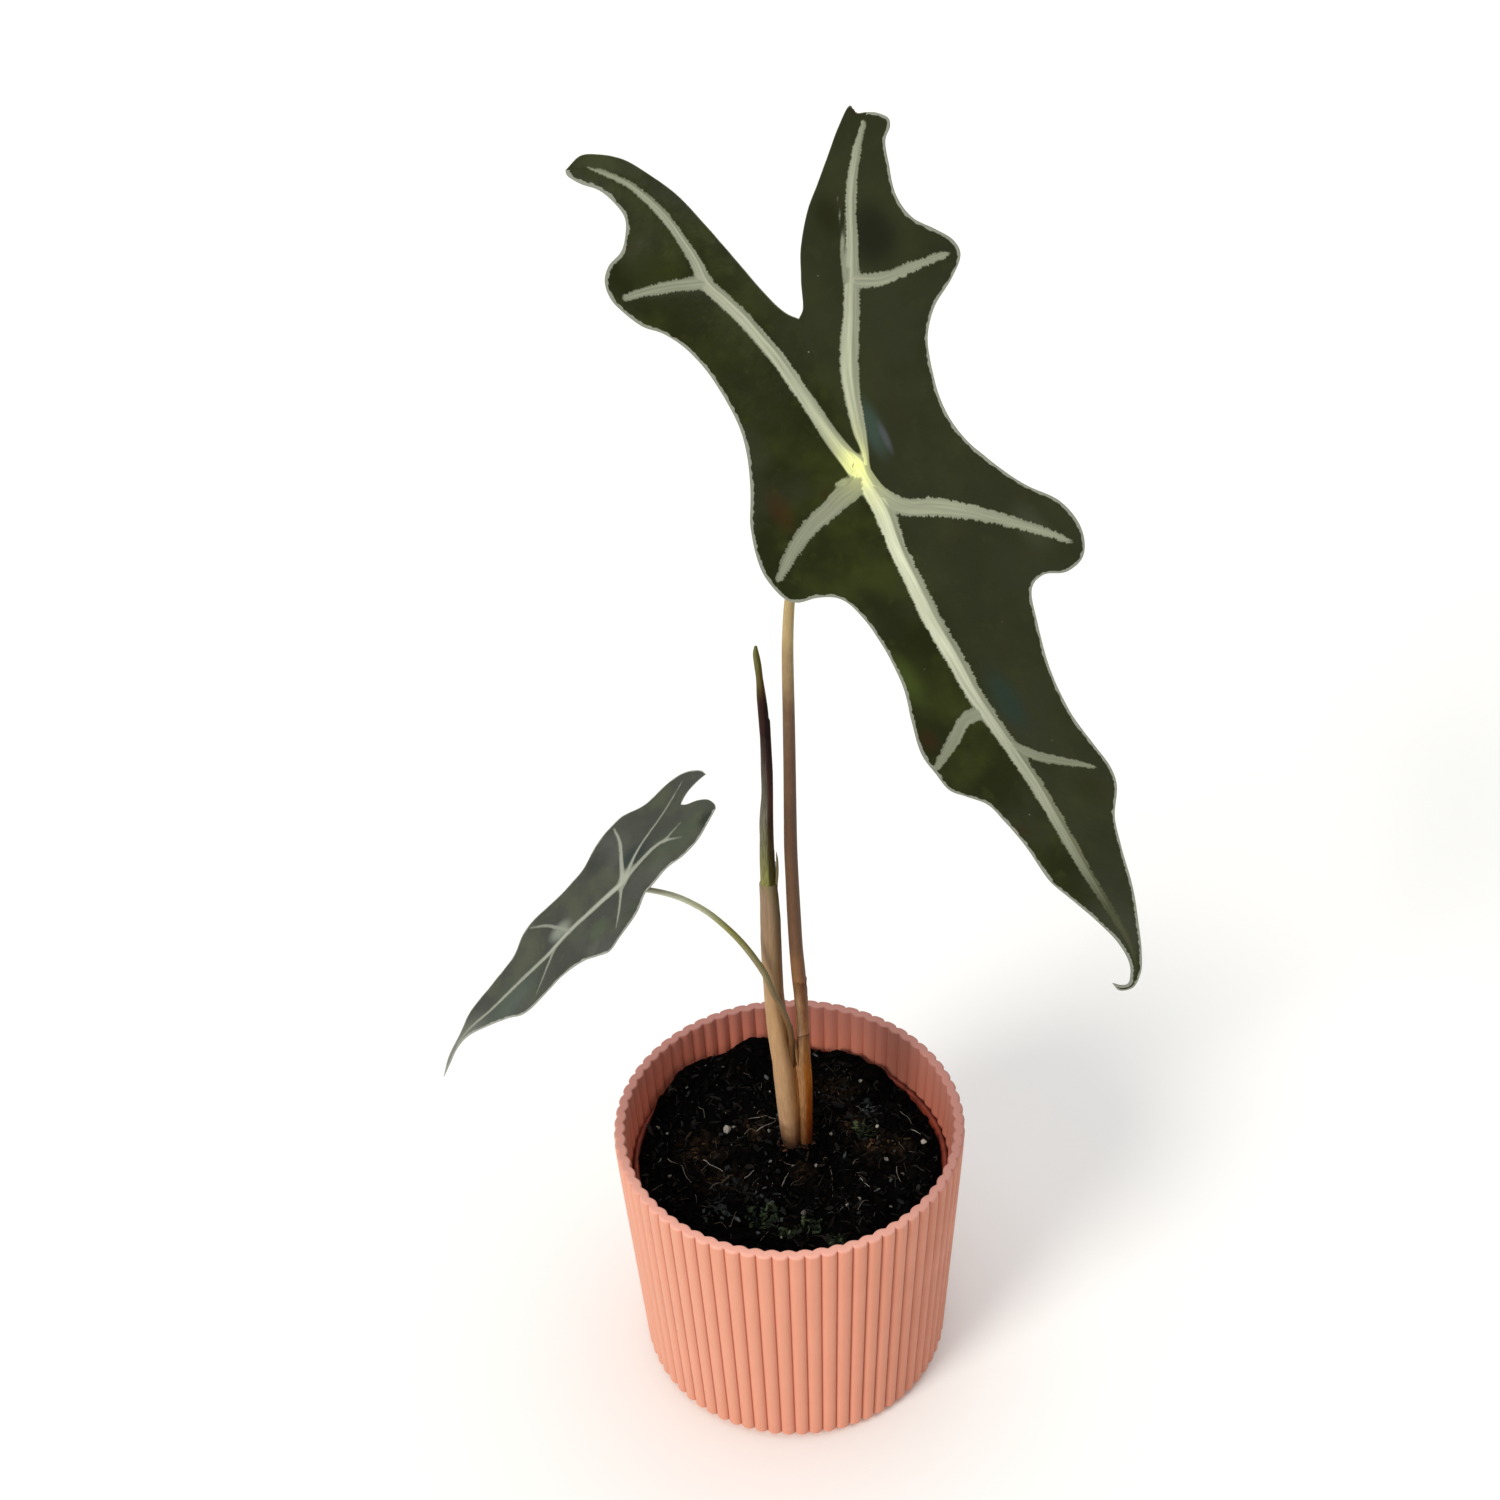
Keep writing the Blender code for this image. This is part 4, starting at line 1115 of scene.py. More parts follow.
# The large leaf's reach from its hub to its tip, and the stretch of noise that a vein has, in mm.
LONGEST_REACH = 205.0
NOISE_STRETCH = 400.0


class VeinRank(Enum):
    """How a vein looks on the upper face: its core's brightness, from 0 to 1."""

    MIDRIB = 1.0
    MAIN = 0.45
    SIDE = 0.12


@dataclass(frozen=True)
class Vein:
    """A vein of the flattened blade.

    Attributes:
        points: (along the midrib, across it, half width of the pale band) in mm.
        frill: how ragged its left and right edges are.
        rank: what kind of vein it is.
        core: middle and half width of its bright core, as shares of the band's half width.
        tone: how bright the whole vein is.
    """

    points: Points
    frill: Pair = (0.9, 0.9)
    rank: VeinRank = VeinRank.SIDE
    core: Pair = (0.0, 0.6)
    tone: float = 1.0

    def nearest(self, u: np.ndarray, v: np.ndarray) -> dict[str, np.ndarray]:
        """Measure the way from each flat point to this vein.

        Args:
            u: the points' places along the midrib.
            v: the points' places across it.

        Returns:
            Arrays: "axis" distance to the vein's line, its "half" width there, the "run" along
            the vein and the "side" it is seen on, -1 or 1.
        """
        count = 10 * (len(self.points) - 1)
        stops = np.array([curve_point(self.points, (len(self.points) - 1) * n / count)
                          for n in range(count + 1)])
        starts, ends = stops[:-1], stops[1:]
        legs = ends[:, :2] - starts[:, :2]
        lengths = np.hypot(legs[:, 0], legs[:, 1])
        runs = np.concatenate([[0.0], np.cumsum(lengths)])
        best = np.full(len(u), 1e9)
        half, run, side = np.zeros(len(u)), np.zeros(len(u)), np.ones(len(u))
        for n in range(count):
            du, dv = u - starts[n, 0], v - starts[n, 1]
            share = np.clip((du * legs[n, 0] + dv * legs[n, 1]) / max(lengths[n] ** 2, 1e-9), 0, 1)
            off = np.hypot(du - share * legs[n, 0], dv - share * legs[n, 1])
            near = off < best
            best[near] = off[near]
            half[near] = (starts[n, 2] + share * (ends[n, 2] - starts[n, 2]))[near]
            run[near] = (runs[n] + share * lengths[n])[near]
            side[near] = np.sign(legs[n, 0] * dv - legs[n, 1] * du)[near]
        return {"axis": best, "half": half, "run": run, "side": side}


@dataclass(frozen=True)
class HalfBlade:
    """One half of the flattened blade: its rear vein, its margins and how their points pair.

    Attributes:
        vein: the rear vein's line, from the lobe's tip to the hub.
        outer: the outer margin, from the lobe's tip round to the blade's tip.
        inner: the inner margin, from the lobe's tip to the notch.
        outer_seams: pairs of (spine index, outer margin index) that face each other.
        inner_seams: the same for the inner margin.
        pale_edge: width in mm of the pale line along the outer margin.
    """

    vein: Points
    outer: Points
    inner: Points
    outer_seams: Points
    inner_seams: Points
    pale_edge: float


@dataclass(frozen=True)
class BladeSkin(Finish):
    """Waxy leaf skin: a dark satin blade, pale veins with ragged edges and a pale margin.

    Attributes:
        dark, light, tint, sheen_tint, patch: the blade's colours and the size of its clouds; sheen_tint is a
            painted sheen's grey.
        band, core: (mm from the hub, colour) stops of the veins and of their bright middles,
            which end at reach.
        edge, back, back_deep, back_vein, speck: colours of margin, underside and dust.
        tooth: how long the teeth along the veins are, in mm.
        painted_sheen_side: how far the half right of the midrib takes on sheen_tint, a painted sheen.
        patches: (u, v, half length, half width, colour, strength) of clouds one by one, some of them painted
            sheen.
    """

    dark: str = "#2a2e15"
    light: str = "#373c20"
    tint: str = "#33290f"
    sheen_tint: str = "#30342a"
    band: Stops = ()
    core: Stops = ()
    edge: str = "#989a8c"
    back: str = "#3b2227"
    back_deep: str = "#4a3433"
    back_vein: str = "#8b8a63"
    patch: float = 24.0
    tooth: float = 1.6
    reach: float = LONGEST_REACH
    painted_sheen_side: float = 0.0
    patches: tuple[tuple[float, float, float, float, str, float], ...] = ()
    speck: str = "#7d816c"

    def paint(self, tree: Tree, shader: Node) -> None:
        """Lay blade, vein bands, cores, margin and underside on each other.

        Args:
            tree: the material's node tree.
            shader: its Principled shader.
        """
        read = {name: add_node(tree, "Attribute", attribute_name=name).outputs
                for name in ("flat", "vein", "core", "rank", "run", "frill", "margin", "pale", "under", "hub",
                             "across", "along", "tone")}
        band = self.band_mask(tree, read)
        tones = []
        for stops in (self.band, self.core):
            share = add_node(tree, "MapRange", {"Value": read["hub"]["Fac"], "From Max": self.reach})
            pairs = [(mm / self.reach, linear(code)) for mm, code in stops]
            tones.append(add_node(tree, "ValToRGB", {
                "Fac": share.outputs["Result"]}, stops=pairs).outputs["Color"])
        bright = add_node(tree, "MapRange", {
            "Value": read["core"]["Fac"], "From Min": 1.25, "From Max": 0.75}, **EASED)
        ranked = add_node(tree, "Math", {
            0: bright.outputs["Result"], 1: read["rank"]["Fac"]}, operation="MULTIPLY")
        vein = add_node(tree, "Mix", {
            FACTOR: ranked.outputs["Value"], FIRST: tones[0], SECOND: tones[1]}, **COLOURS)
        lengthwise = add_node(tree, "CombineXYZ", {"X": read["along"]["Fac"], "Y": read["across"]["Fac"]})
        stretched = add_node(tree, "VectorMath", {
            0: lengthwise.outputs["Vector"], 1: (0.045, 2.6, 0.0)}, operation="MULTIPLY")
        fibres = add_node(tree, "TexNoise", {
            "Vector": stretched.outputs["Vector"], "Scale": 1.0, "Detail": 3.0})
        tone = add_node(tree, "MapRange", {
            "Value": fibres.outputs["Fac"], "From Min": 0.3, "From Max": 0.7, "To Min": 0.8, "To Max": 1.18})
        strength = add_node(tree, "Math", {
            0: tone.outputs["Result"], 1: read["tone"]["Fac"]}, operation="MULTIPLY")
        streaked = add_node(tree, "VectorMath", {
            0: vein.outputs[MIXED], "Scale": strength.outputs["Value"]}, operation="SCALE")
        rough_edge = add_node(tree, "TexNoise", {
            "Vector": read["flat"]["Vector"], "Scale": 0.45, "Detail": 3.0})
        width = add_node(tree, "Math", {
            0: read["pale"]["Fac"], 1: rough_edge.outputs["Fac"]}, operation="MULTIPLY")
        inward = add_node(tree, "Math", {
            0: width.outputs["Value"], 1: -2.0, 2: read["margin"]["Fac"]}, operation="MULTIPLY_ADD")
        rim = add_node(tree, "MapRange", {
            "Value": inward.outputs["Value"], "From Min": 0.16, "From Max": -0.16}, **EASED)
        rib = add_node(tree, "MapRange", {
            "Value": read["vein"]["Fac"], "From Min": 0.4, "From Max": -0.9}, **EASED)
        back = add_node(tree, "Mix", {
            FACTOR: rib.outputs["Result"], FIRST: self.underside(tree, read),
            SECOND: linear(self.back_vein)}, **COLOURS)
        colour = self.blade(tree, read)
        for share, over in ((band, streaked.outputs["Vector"]), (rim.outputs["Result"], linear(self.edge)),
                            (read["under"]["Fac"], back.outputs[MIXED])):
            colour = add_node(tree, "Mix", {
                FACTOR: share, FIRST: colour, SECOND: over}, **COLOURS).outputs[MIXED]
        tree.links.new(colour, shader.inputs["Base Color"])
        self.relief(tree, shader, read, band)

    def blade(self, tree: Tree, read: dict) -> Socket:
        """Mottle the dark blade with lighter, greyer and reddish patches of about patch mm.

        Args:
            tree: the material's node tree.
            read: the outputs of each attribute's node.

        Returns:
            The blade's colour.
        """
        colour = linear(self.dark)
        # Each cloud: its size as a share of patch, its place, its colour and how it sets in.
        clouds = ((1.0, 0.0, self.light, 0.4, 0.72, 1.0), (1.6, 90.0, self.sheen_tint, 0.5, 0.66, 0.8),
                  (0.8, 40.0, self.tint, 0.62, 0.74, 0.7), (0.25, 10.0, self.light, 0.55, 0.7, 0.45))
        for size, shift, code, start, end, most in clouds:
            moved = add_node(tree, "VectorMath", {
                0: read["flat"]["Vector"], 1: (shift, shift, 0.0)}, operation="ADD")
            cloud = add_node(tree, "TexNoise", {
                "Vector": moved.outputs["Vector"], "Scale": 1 / (size * self.patch), "Detail": 4.0,
                "Roughness": 0.55})
            amount = add_node(tree, "MapRange", {
                "Value": cloud.outputs["Fac"], "From Min": start, "From Max": end, "To Max": most}, **EASED)
            colour = add_node(tree, "Mix", {
                FACTOR: amount.outputs["Result"], FIRST: colour, SECOND: linear(code)}, **COLOURS
            ).outputs[MIXED]
        # Painted sheen: the half right of the midrib greys towards sheen_tint.
        right = add_node(tree, "MapRange", {
            "Value": add_node(tree, "SeparateXYZ", {"Vector": read["flat"]["Vector"]}).outputs["Y"],
            "From Min": -2.0, "From Max": 8.0, "To Max": self.painted_sheen_side}, **EASED)
        colour = add_node(tree, "Mix", {
            FACTOR: right.outputs["Result"], FIRST: colour, SECOND: linear(self.sheen_tint)}, **COLOURS
        ).outputs[MIXED]
        # Each patch is a cloud of its own; some are painted sheen.
        for u, v, long, wide, code, most in self.patches:
            away = add_node(tree, "VectorMath", {
                0: read["flat"]["Vector"], 1: (u, v, 0.0)}, operation="SUBTRACT")
            sized = add_node(tree, "VectorMath", {
                0: away.outputs["Vector"], 1: (1 / long, 1 / wide, 0.0)}, operation="MULTIPLY")
            length = add_node(tree, "VectorMath", {0: sized.outputs["Vector"]}, operation="LENGTH")
            amount = add_node(tree, "MapRange", {
                "Value": length.outputs["Value"], "From Min": 1.0, "From Max": 0.2, "To Max": most}, **EASED)
            colour = add_node(tree, "Mix", {
                FACTOR: amount.outputs["Result"], FIRST: colour, SECOND: linear(code)}, **COLOURS
            ).outputs[MIXED]
        return self.specks(tree, read, colour)

    def specks(self, tree: Tree, read: dict, colour: Socket) -> Socket:
        """Sprinkle a few pale specks of dust, about half a millimetre wide.

        Args:
            tree: the material's node tree.
            read: the outputs of each attribute's node.
            colour: the clean blade's colour.

        Returns:
            The dusty blade's colour.
        """
        cells = add_node(tree, "TexVoronoi", {"Vector": read["flat"]["Vector"], "Scale": 1 / 6})
        near = add_node(tree, "MapRange", {
            "Value": cells.outputs["Distance"], "From Min": 0.06, "From Max": 0.025})
        lot = add_node(tree, "SeparateXYZ", {"Vector": cells.outputs["Color"]})
        chosen = add_node(tree, "MapRange", {
            "Value": lot.outputs["X"], "From Min": 0.72, "From Max": 1.0, "To Max": 0.7})
        amount = add_node(tree, "Math", {
            0: near.outputs["Result"], 1: chosen.outputs["Result"]}, operation="MULTIPLY")
        return add_node(tree, "Mix", {
            FACTOR: amount.outputs["Value"], FIRST: colour, SECOND: linear(self.speck)}, **COLOURS
        ).outputs[MIXED]

    def band_mask(self, tree: Tree, read: dict) -> Socket:
        """Cut the pale band's edge into teeth of about tooth mm with a few longer spurs.

        Args:
            tree: the material's node tree.
            read: the outputs of each attribute's node.

        Returns:
            1 on the pale bands of the veins and 0 on the blade.
        """
        reach = 0.0
        for period, height in ((self.tooth * 4, 0.45), (self.tooth, 0.55), (self.tooth * 0.35, 0.5)):
            along = add_node(tree, "Math", {0: read["run"]["Fac"], 1: period}, operation="DIVIDE")
            wave = add_node(tree, "TexNoise", {
                "W": along.outputs["Value"], "Scale": 1.0, "Detail": 1.0}, noise_dimensions="1D")
            tooth = add_node(tree, "MapRange", {
                "Value": wave.outputs["Fac"], "From Min": 0.3, "From Max": 0.7, "To Min": -height / 2,
                "To Max": height / 2})
            reach = add_node(tree, "Math", {
                0: reach, 1: tooth.outputs["Result"]}, operation="ADD").outputs["Value"]
        frill = add_node(tree, "Math", {0: reach, 1: read["frill"]["Fac"]}, operation="MULTIPLY")
        gap = add_node(tree, "Math", {
            0: read["vein"]["Fac"], 1: frill.outputs["Value"]}, operation="SUBTRACT")
        return add_node(tree, "MapRange", {
            "Value": gap.outputs["Value"], "From Min": 0.3, "From Max": -0.3}, **EASED).outputs["Result"]

    def underside(self, tree: Tree, read: dict) -> Socket:
        """Cloud the wine-coloured back of the blade."""
        cloud = add_node(tree, "TexNoise", {
            "Vector": read["flat"]["Vector"], "Scale": 1 / 9, "Detail": 4.0})
        return add_node(tree, "Mix", {
            FACTOR: cloud.outputs["Fac"], FIRST: linear(self.back), SECOND: linear(self.back_deep)}, **COLOURS
        ).outputs[MIXED]

    def relief(self, tree: Tree, shader: Node, read: dict,
               band: Socket) -> None:
        """Pucker the blade finely, sink the veins' edges and roughen them.

        Args:
            tree: the material's node tree.
            shader: its Principled shader.
            read: the outputs of each attribute's node.
            band: 1 on the pale bands and 0 on the blade.
        """
        pucker = add_node(tree, "TexNoise", {
            "Vector": read["flat"]["Vector"], "Scale": 0.4, "Detail": 4.0, "Roughness": 0.5})
        height = add_node(tree, "Math", {
            0: band, 1: -0.5, 2: pucker.outputs["Fac"]}, operation="MULTIPLY_ADD")
        bump = add_node(tree, "Bump", {
            "Height": height.outputs["Value"], "Strength": 0.5, "Distance": 0.3 * MM})
        tree.links.new(bump.outputs["Normal"], shader.inputs["Normal"])
        gloss = add_node(tree, "MapRange", {
            "Value": band, "To Min": self.roughness, "To Max": self.roughness + 0.12})
        tree.links.new(gloss.outputs["Result"], shader.inputs["Roughness"])


@dataclass
class Leaf:
    """One blade: a flat outline and its veins, laid on an arched, folded and waved surface.

    Attributes:
        name: the piece's name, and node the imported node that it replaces.
        hub: where the petiole meets the blade; turn, tilt and roll turn the blade there.
        arch_radius: how tightly the midrib arches.
        fold, soft: how far both halves rise from the midrib, and how wide the bend is.
        wave, wave_at, wave_length, phases: height of the margins' waves, where it is reached, their
            length and where they start on the right and left.
        grid: rungs per mm along the spine, columns outside it and columns inside it.
        puff, sink: how far the blade rises between its veins and these sink into it, in mm.
        rib_height: the height of the ribs under the veins.
        facts: what measure() finds for each vertex.
    """

    name: str
    node: str
    hub: Point
    turn: float
    tilt: float
    roll: float
    arch_radius: float
    fold: float
    soft: float
    wave: float
    wave_at: float
    wave_length: float
    phases: Pair
    midrib: Points
    left: HalfBlade
    right: HalfBlade
    veins: tuple[Vein, ...]
    grid: tuple[float, int, int]
    skin: BladeSkin
    puff: float = 1.0
    sink: float = 0.35
    thickness: float = 0.5
    rib_height: float = 1.3
    facts: dict[str, np.ndarray] = field(default_factory=dict)

    def place(self, u: np.ndarray, v: np.ndarray, lift: np.ndarray) -> np.ndarray:
        """Carry flat points to their places in space.

        Args:
            u: places along the midrib in mm.
            v: places across it.
            lift: height above the smooth surface.

        Returns:
            One (x, y, z) row in mm for each point.
        """
        a, b, c = (math.radians(angle) for angle in (self.turn, self.tilt, self.roll))
        out = Vector((math.sin(a) * math.cos(b), -math.cos(a) * math.cos(b), math.sin(b)))
        level = Vector((math.cos(a), math.sin(a), 0.0))
        along = level.cross(out) * math.cos(c) + level * math.sin(c)
        across = out.cross(along)
        bend = u / self.arch_radius
        phase = np.where(v > 0, self.phases[0], self.phases[1])
        raised = self.fold * (np.hypot(v, self.soft) - self.soft)
        raised += self.wave * (v / self.wave_at) ** 2 * np.sin(math.tau * u / self.wave_length + phase)
        raised += lift
        forward = np.sin(bend) * (self.arch_radius + raised)
        outward = np.cos(bend) * (self.arch_radius + raised) - self.arch_radius
        return np.array(self.hub) + np.outer(forward, along) + np.outer(outward, out) + np.outer(v, across)

    def spine_stops(self, spine: Sequence[Point], margins: Sequence[tuple[Sequence[Point], Sequence]],
                    end: int) -> list[float]:
        """Space rungs evenly by the longest of a spine and its margins.

        Args:
            spine: the spine's points.
            margins: pairs of a margin and its seams.
            end: the spine index to stop at.

        Returns:
            The rungs' indices along the spine.
        """
        samples = 200
        marks = [end * n / samples for n in range(samples + 1)]
        rails = [[curve_point(spine, s) for s in marks]]
        for margin, seams in margins:
            rails.append([curve_point(margin, paired(seams, s)) for s in marks])
        travelled = [0.0]
        for n in range(samples):
            travelled.append(travelled[-1] + max((rail[n + 1] - rail[n]).length for rail in rails))
        rungs = round(travelled[-1] * self.grid[0])
        aims = [travelled[-1] * n / rungs for n in range(rungs + 1)]
        return [float(s) for s in np.interp(aims, travelled, marks)]

    def add_strip(self, bm: Mesh, spine: Sequence[Point], margin: Sequence[Point],
                  seams: Sequence[Pair], stops: Sequence[float], columns: int,
                  pale_edge: float) -> None:
        """Lay one strip of flat grid between the spine and its margin, closer at both sides.

        Args:
            bm: the flat mesh, in mm.
            spine: the spine's points.
            margin: the margin's points.
            seams: how their points pair.
            stops: the rungs' indices along the spine.
            columns: how many faces lie across.
            pale_edge: the width of the margin's pale line.
        """
        pale = bm.verts.layers.float["pale"]
        rows = len(stops) - 1
        rungs = [(curve_point(spine, s), curve_point(margin, paired(seams, s))) for s in stops]
        verts = bmesh.ops.create_grid(bm, x_segments=columns, y_segments=rows, size=0.5)["verts"]
        for vert in verts:
            inside, edge = rungs[round((vert.co.y + 0.5) * rows)]
            share = vert.co.x + 0.5
            share = 0.55 * share + 0.45 * (0.5 - 0.5 * math.cos(math.pi * share))
            u, v = inside.lerp(edge, share)
            vert.co = Vector((u, v, 0.0))
            vert[pale] = pale_edge

    def flat_sheet(self) -> Mesh:
        """Lay the whole flat blade as joined strips of grid.

        Returns:
            The flat mesh, in mm.
        """
        bm = bmesh.new()
        bm.verts.layers.float.new("pale")
        hub = len(self.left.vein) - 1
        below = [(half.outer, [(s - hub, m) for s, m in half.outer_seams if s >= hub])
                 for half in (self.left, self.right)]
        midrib_stops = self.spine_stops(self.midrib, below, len(self.midrib) - 1)
        for half, (margin, seams) in zip((self.left, self.right), below):
            outer, inner = (half.outer, half.outer_seams), (half.inner, half.inner_seams)
            stops = self.spine_stops(half.vein, [outer, inner], hub)
            self.add_strip(bm, half.vein, *outer, stops, self.grid[1], half.pale_edge)
            self.add_strip(bm, half.vein, *inner, stops, self.grid[2], 0.12)
            self.add_strip(bm, self.midrib, margin, seams, midrib_stops, self.grid[1], half.pale_edge)
        bmesh.ops.remove_doubles(bm, verts=bm.verts, dist=0.02)
        bmesh.ops.recalc_face_normals(bm, faces=bm.faces)
        bm.verts.ensure_lookup_table()
        return bm

    def measure(self, bm: Mesh) -> None:
        """Measure veins, margin and hub at every flat vertex, and keep the results as facts.

        Args:
            bm: the flat mesh, in mm.
        """
        flat = np.array([vert.co[:2] for vert in bm.verts])
        u, v = flat[:, 0], flat[:, 1]
        facts = {name: np.zeros(len(u)) for name in (
            "half", "run", "along", "across", "core", "rank", "tone", "frill")}
        facts["vein"] = np.full(len(u), 60.0)
        nearest = np.full(len(u), np.inf)
        for number, vein in enumerate(self.veins):
            seen = vein.nearest(u, v)
            gap = seen["axis"] - seen["half"]
            near = gap < nearest
            nearest[near] = gap[near]
            across = seen["side"] * seen["axis"] / np.maximum(seen["half"], 0.2)
            # Each vein, and each of its sides, runs over its own stretch of the noise.
            along = seen["run"] + NOISE_STRETCH * number
            found = {
                "half": seen["half"], "run": along + NOISE_STRETCH / 2 * seen["side"],
                "along": along, "across": across,
                "core": np.abs(across - vein.core[0]) / vein.core[1],
                "rank": np.full(len(u), vein.rank.value), "tone": np.full(len(u), vein.tone),
                "frill": np.where(seen["side"] < 0, vein.frill[0], vein.frill[1])}
            for name, values in found.items():
                facts[name][near] = values[near]
            web = 1.0 + 0.8 * np.exp(-((u + 5) ** 2 + (v - 1) ** 2) / 90)
            blend = np.clip(0.5 + 0.5 * (facts["vein"] - gap) / web, 0, 1)
            facts["vein"] = facts["vein"] + (gap - facts["vein"]) * blend - web * blend * (1 - blend)
        facts["ratio"] = np.abs(facts["across"])
        edges = [edge for edge in bm.edges if len(edge.link_faces) == 1]
        marks = [edge.verts[0].co.lerp(edge.verts[1].co, k / 3) for edge in edges for k in range(3)]
        rim = KDTree(len(marks))
        for n, mark in enumerate(marks):
            rim.insert(mark, n)
        rim.balance()
        facts["margin"] = np.array([rim.find(vert.co)[2] for vert in bm.verts])
        facts["hub"] = np.hypot(u, v)
        # Round the hub the veins lose their ragged edges and run together in one bright star.
        close = np.hypot(u + 1.5, v + 0.9) * LONGEST_REACH / self.skin.reach
        facts["frill"] *= np.clip((close - 8) / 12, 0, 1)
        facts["core"] *= 1 - 0.8 * np.exp(-(close / 3.6) ** 2)
        facts["rank"] += (1 - facts["rank"]) * np.exp(-(close / 4.2) ** 2)
        facts["u"], facts["v"] = u, v
        self.facts = facts

    def raise_sheet(self, bm: Mesh) -> None:
        """Puff the blade up between its veins and carry it to its place.

        Args:
            bm: the flat mesh, in mm.
        """
        f = self.facts
        swell = 1 - np.exp(-np.maximum(f["vein"], 0) / 7)
        shore = 1 - np.exp(-f["margin"] / 6)
        ripple = np.array([lumps(a, b, 0.0, 17.0) + 0.4 * lumps(a, b, 5.0, 6.0)
                           for a, b in zip(f["u"], f["v"])])
        lift = self.puff * swell * (shore + 0.6 * ripple)
        lift -= self.sink * np.exp(-(f["ratio"] * 1.2) ** 2) * np.minimum(f["half"] / 2, 1)
        places = self.place(f["u"], f["v"], lift)
        for vert, place in zip(bm.verts, places):
            vert.co = place

    def close_sheet(self, bm: Mesh) -> None:
        """Give the sheet its underside, with a raised rib under each vein, and its edge.

        Args:
            bm: the curved sheet, in mm.
        """
        under = bm.verts.layers.float.new("under")
        bm.normal_update()
        tops = list(bm.verts)
        f = self.facts
        thin = self.thickness * (0.55 + 0.45 * (1 - np.exp(-f["margin"] / 1.5)))
        arch = np.sqrt(np.clip(1 - (f["ratio"] / 0.8) ** 2, 0, 1))
        rib = self.rib_height * np.minimum(f["half"] / 2.6, 1) * arch * (1 - np.exp(-f["margin"] / 3))
        boss = 0.9 * self.rib_height * np.exp(-(f["hub"] / 3.2) ** 2)
        depth = thin + rib + boss
        copied = bmesh.ops.duplicate(bm, geom=list(bm.verts) + list(bm.edges) + list(bm.faces))
        below = [g for g in copied["geom"] if isinstance(g, bmesh.types.BMFace)]
        twins = copied["vert_map"]
        for n, top in enumerate(tops):
            twin = twins[top]
            twin.co = top.co - top.normal * float(depth[n])
            twin[under] = 1.0
        bmesh.ops.reverse_faces(bm, faces=below)
        edges = [edge for edge in bm.edges if len(edge.link_faces) == 1]
        bmesh.ops.bridge_loops(bm, edges=edges)

    def build(self) -> None:
        """Make the blade and show it."""
        bm = self.flat_sheet()
        self.measure(bm)
        flat = bm.verts.layers.float_vector.new("flat")
        names = ("vein", "core", "rank", "run", "frill", "margin", "hub", "across", "along", "tone")
        layers = {name: bm.verts.layers.float.new(name) for name in names}
        for n, vert in enumerate(bm.verts):
            vert[flat] = vert.co
            for name, layer in layers.items():
                vert[layer] = float(self.facts[name][n])
        self.raise_sheet(bm)
        bmesh.ops.recalc_face_normals(bm, faces=bm.faces)
        out_x, out_y = math.sin(math.radians(self.turn)), -math.cos(math.radians(self.turn))
        if sum(face.normal.x * out_x + face.normal.y * out_y for face in bm.faces) < 0:
            bmesh.ops.reverse_faces(bm, faces=bm.faces)
        self.close_sheet(bm)
        bmesh.ops.scale(bm, vec=(MM, MM, MM), verts=bm.verts)
        show(bm, self.name, self.skin, [self.node], 70)


def paired(seams: Sequence[Pair], s: float) -> float:
    """Find the margin index that faces a spine index.

    Args:
        seams: (spine index, margin index) pairs that face each other.
        s: the spine index, with a fraction.

    Returns:
        The margin index, with a fraction.
    """
    for (s0, m0), (s1, m1) in zip(seams, seams[1:]):
        if s <= s1:
            return m0 + (m1 - m0) * (s - s0) / (s1 - s0)
    return seams[-1][1]


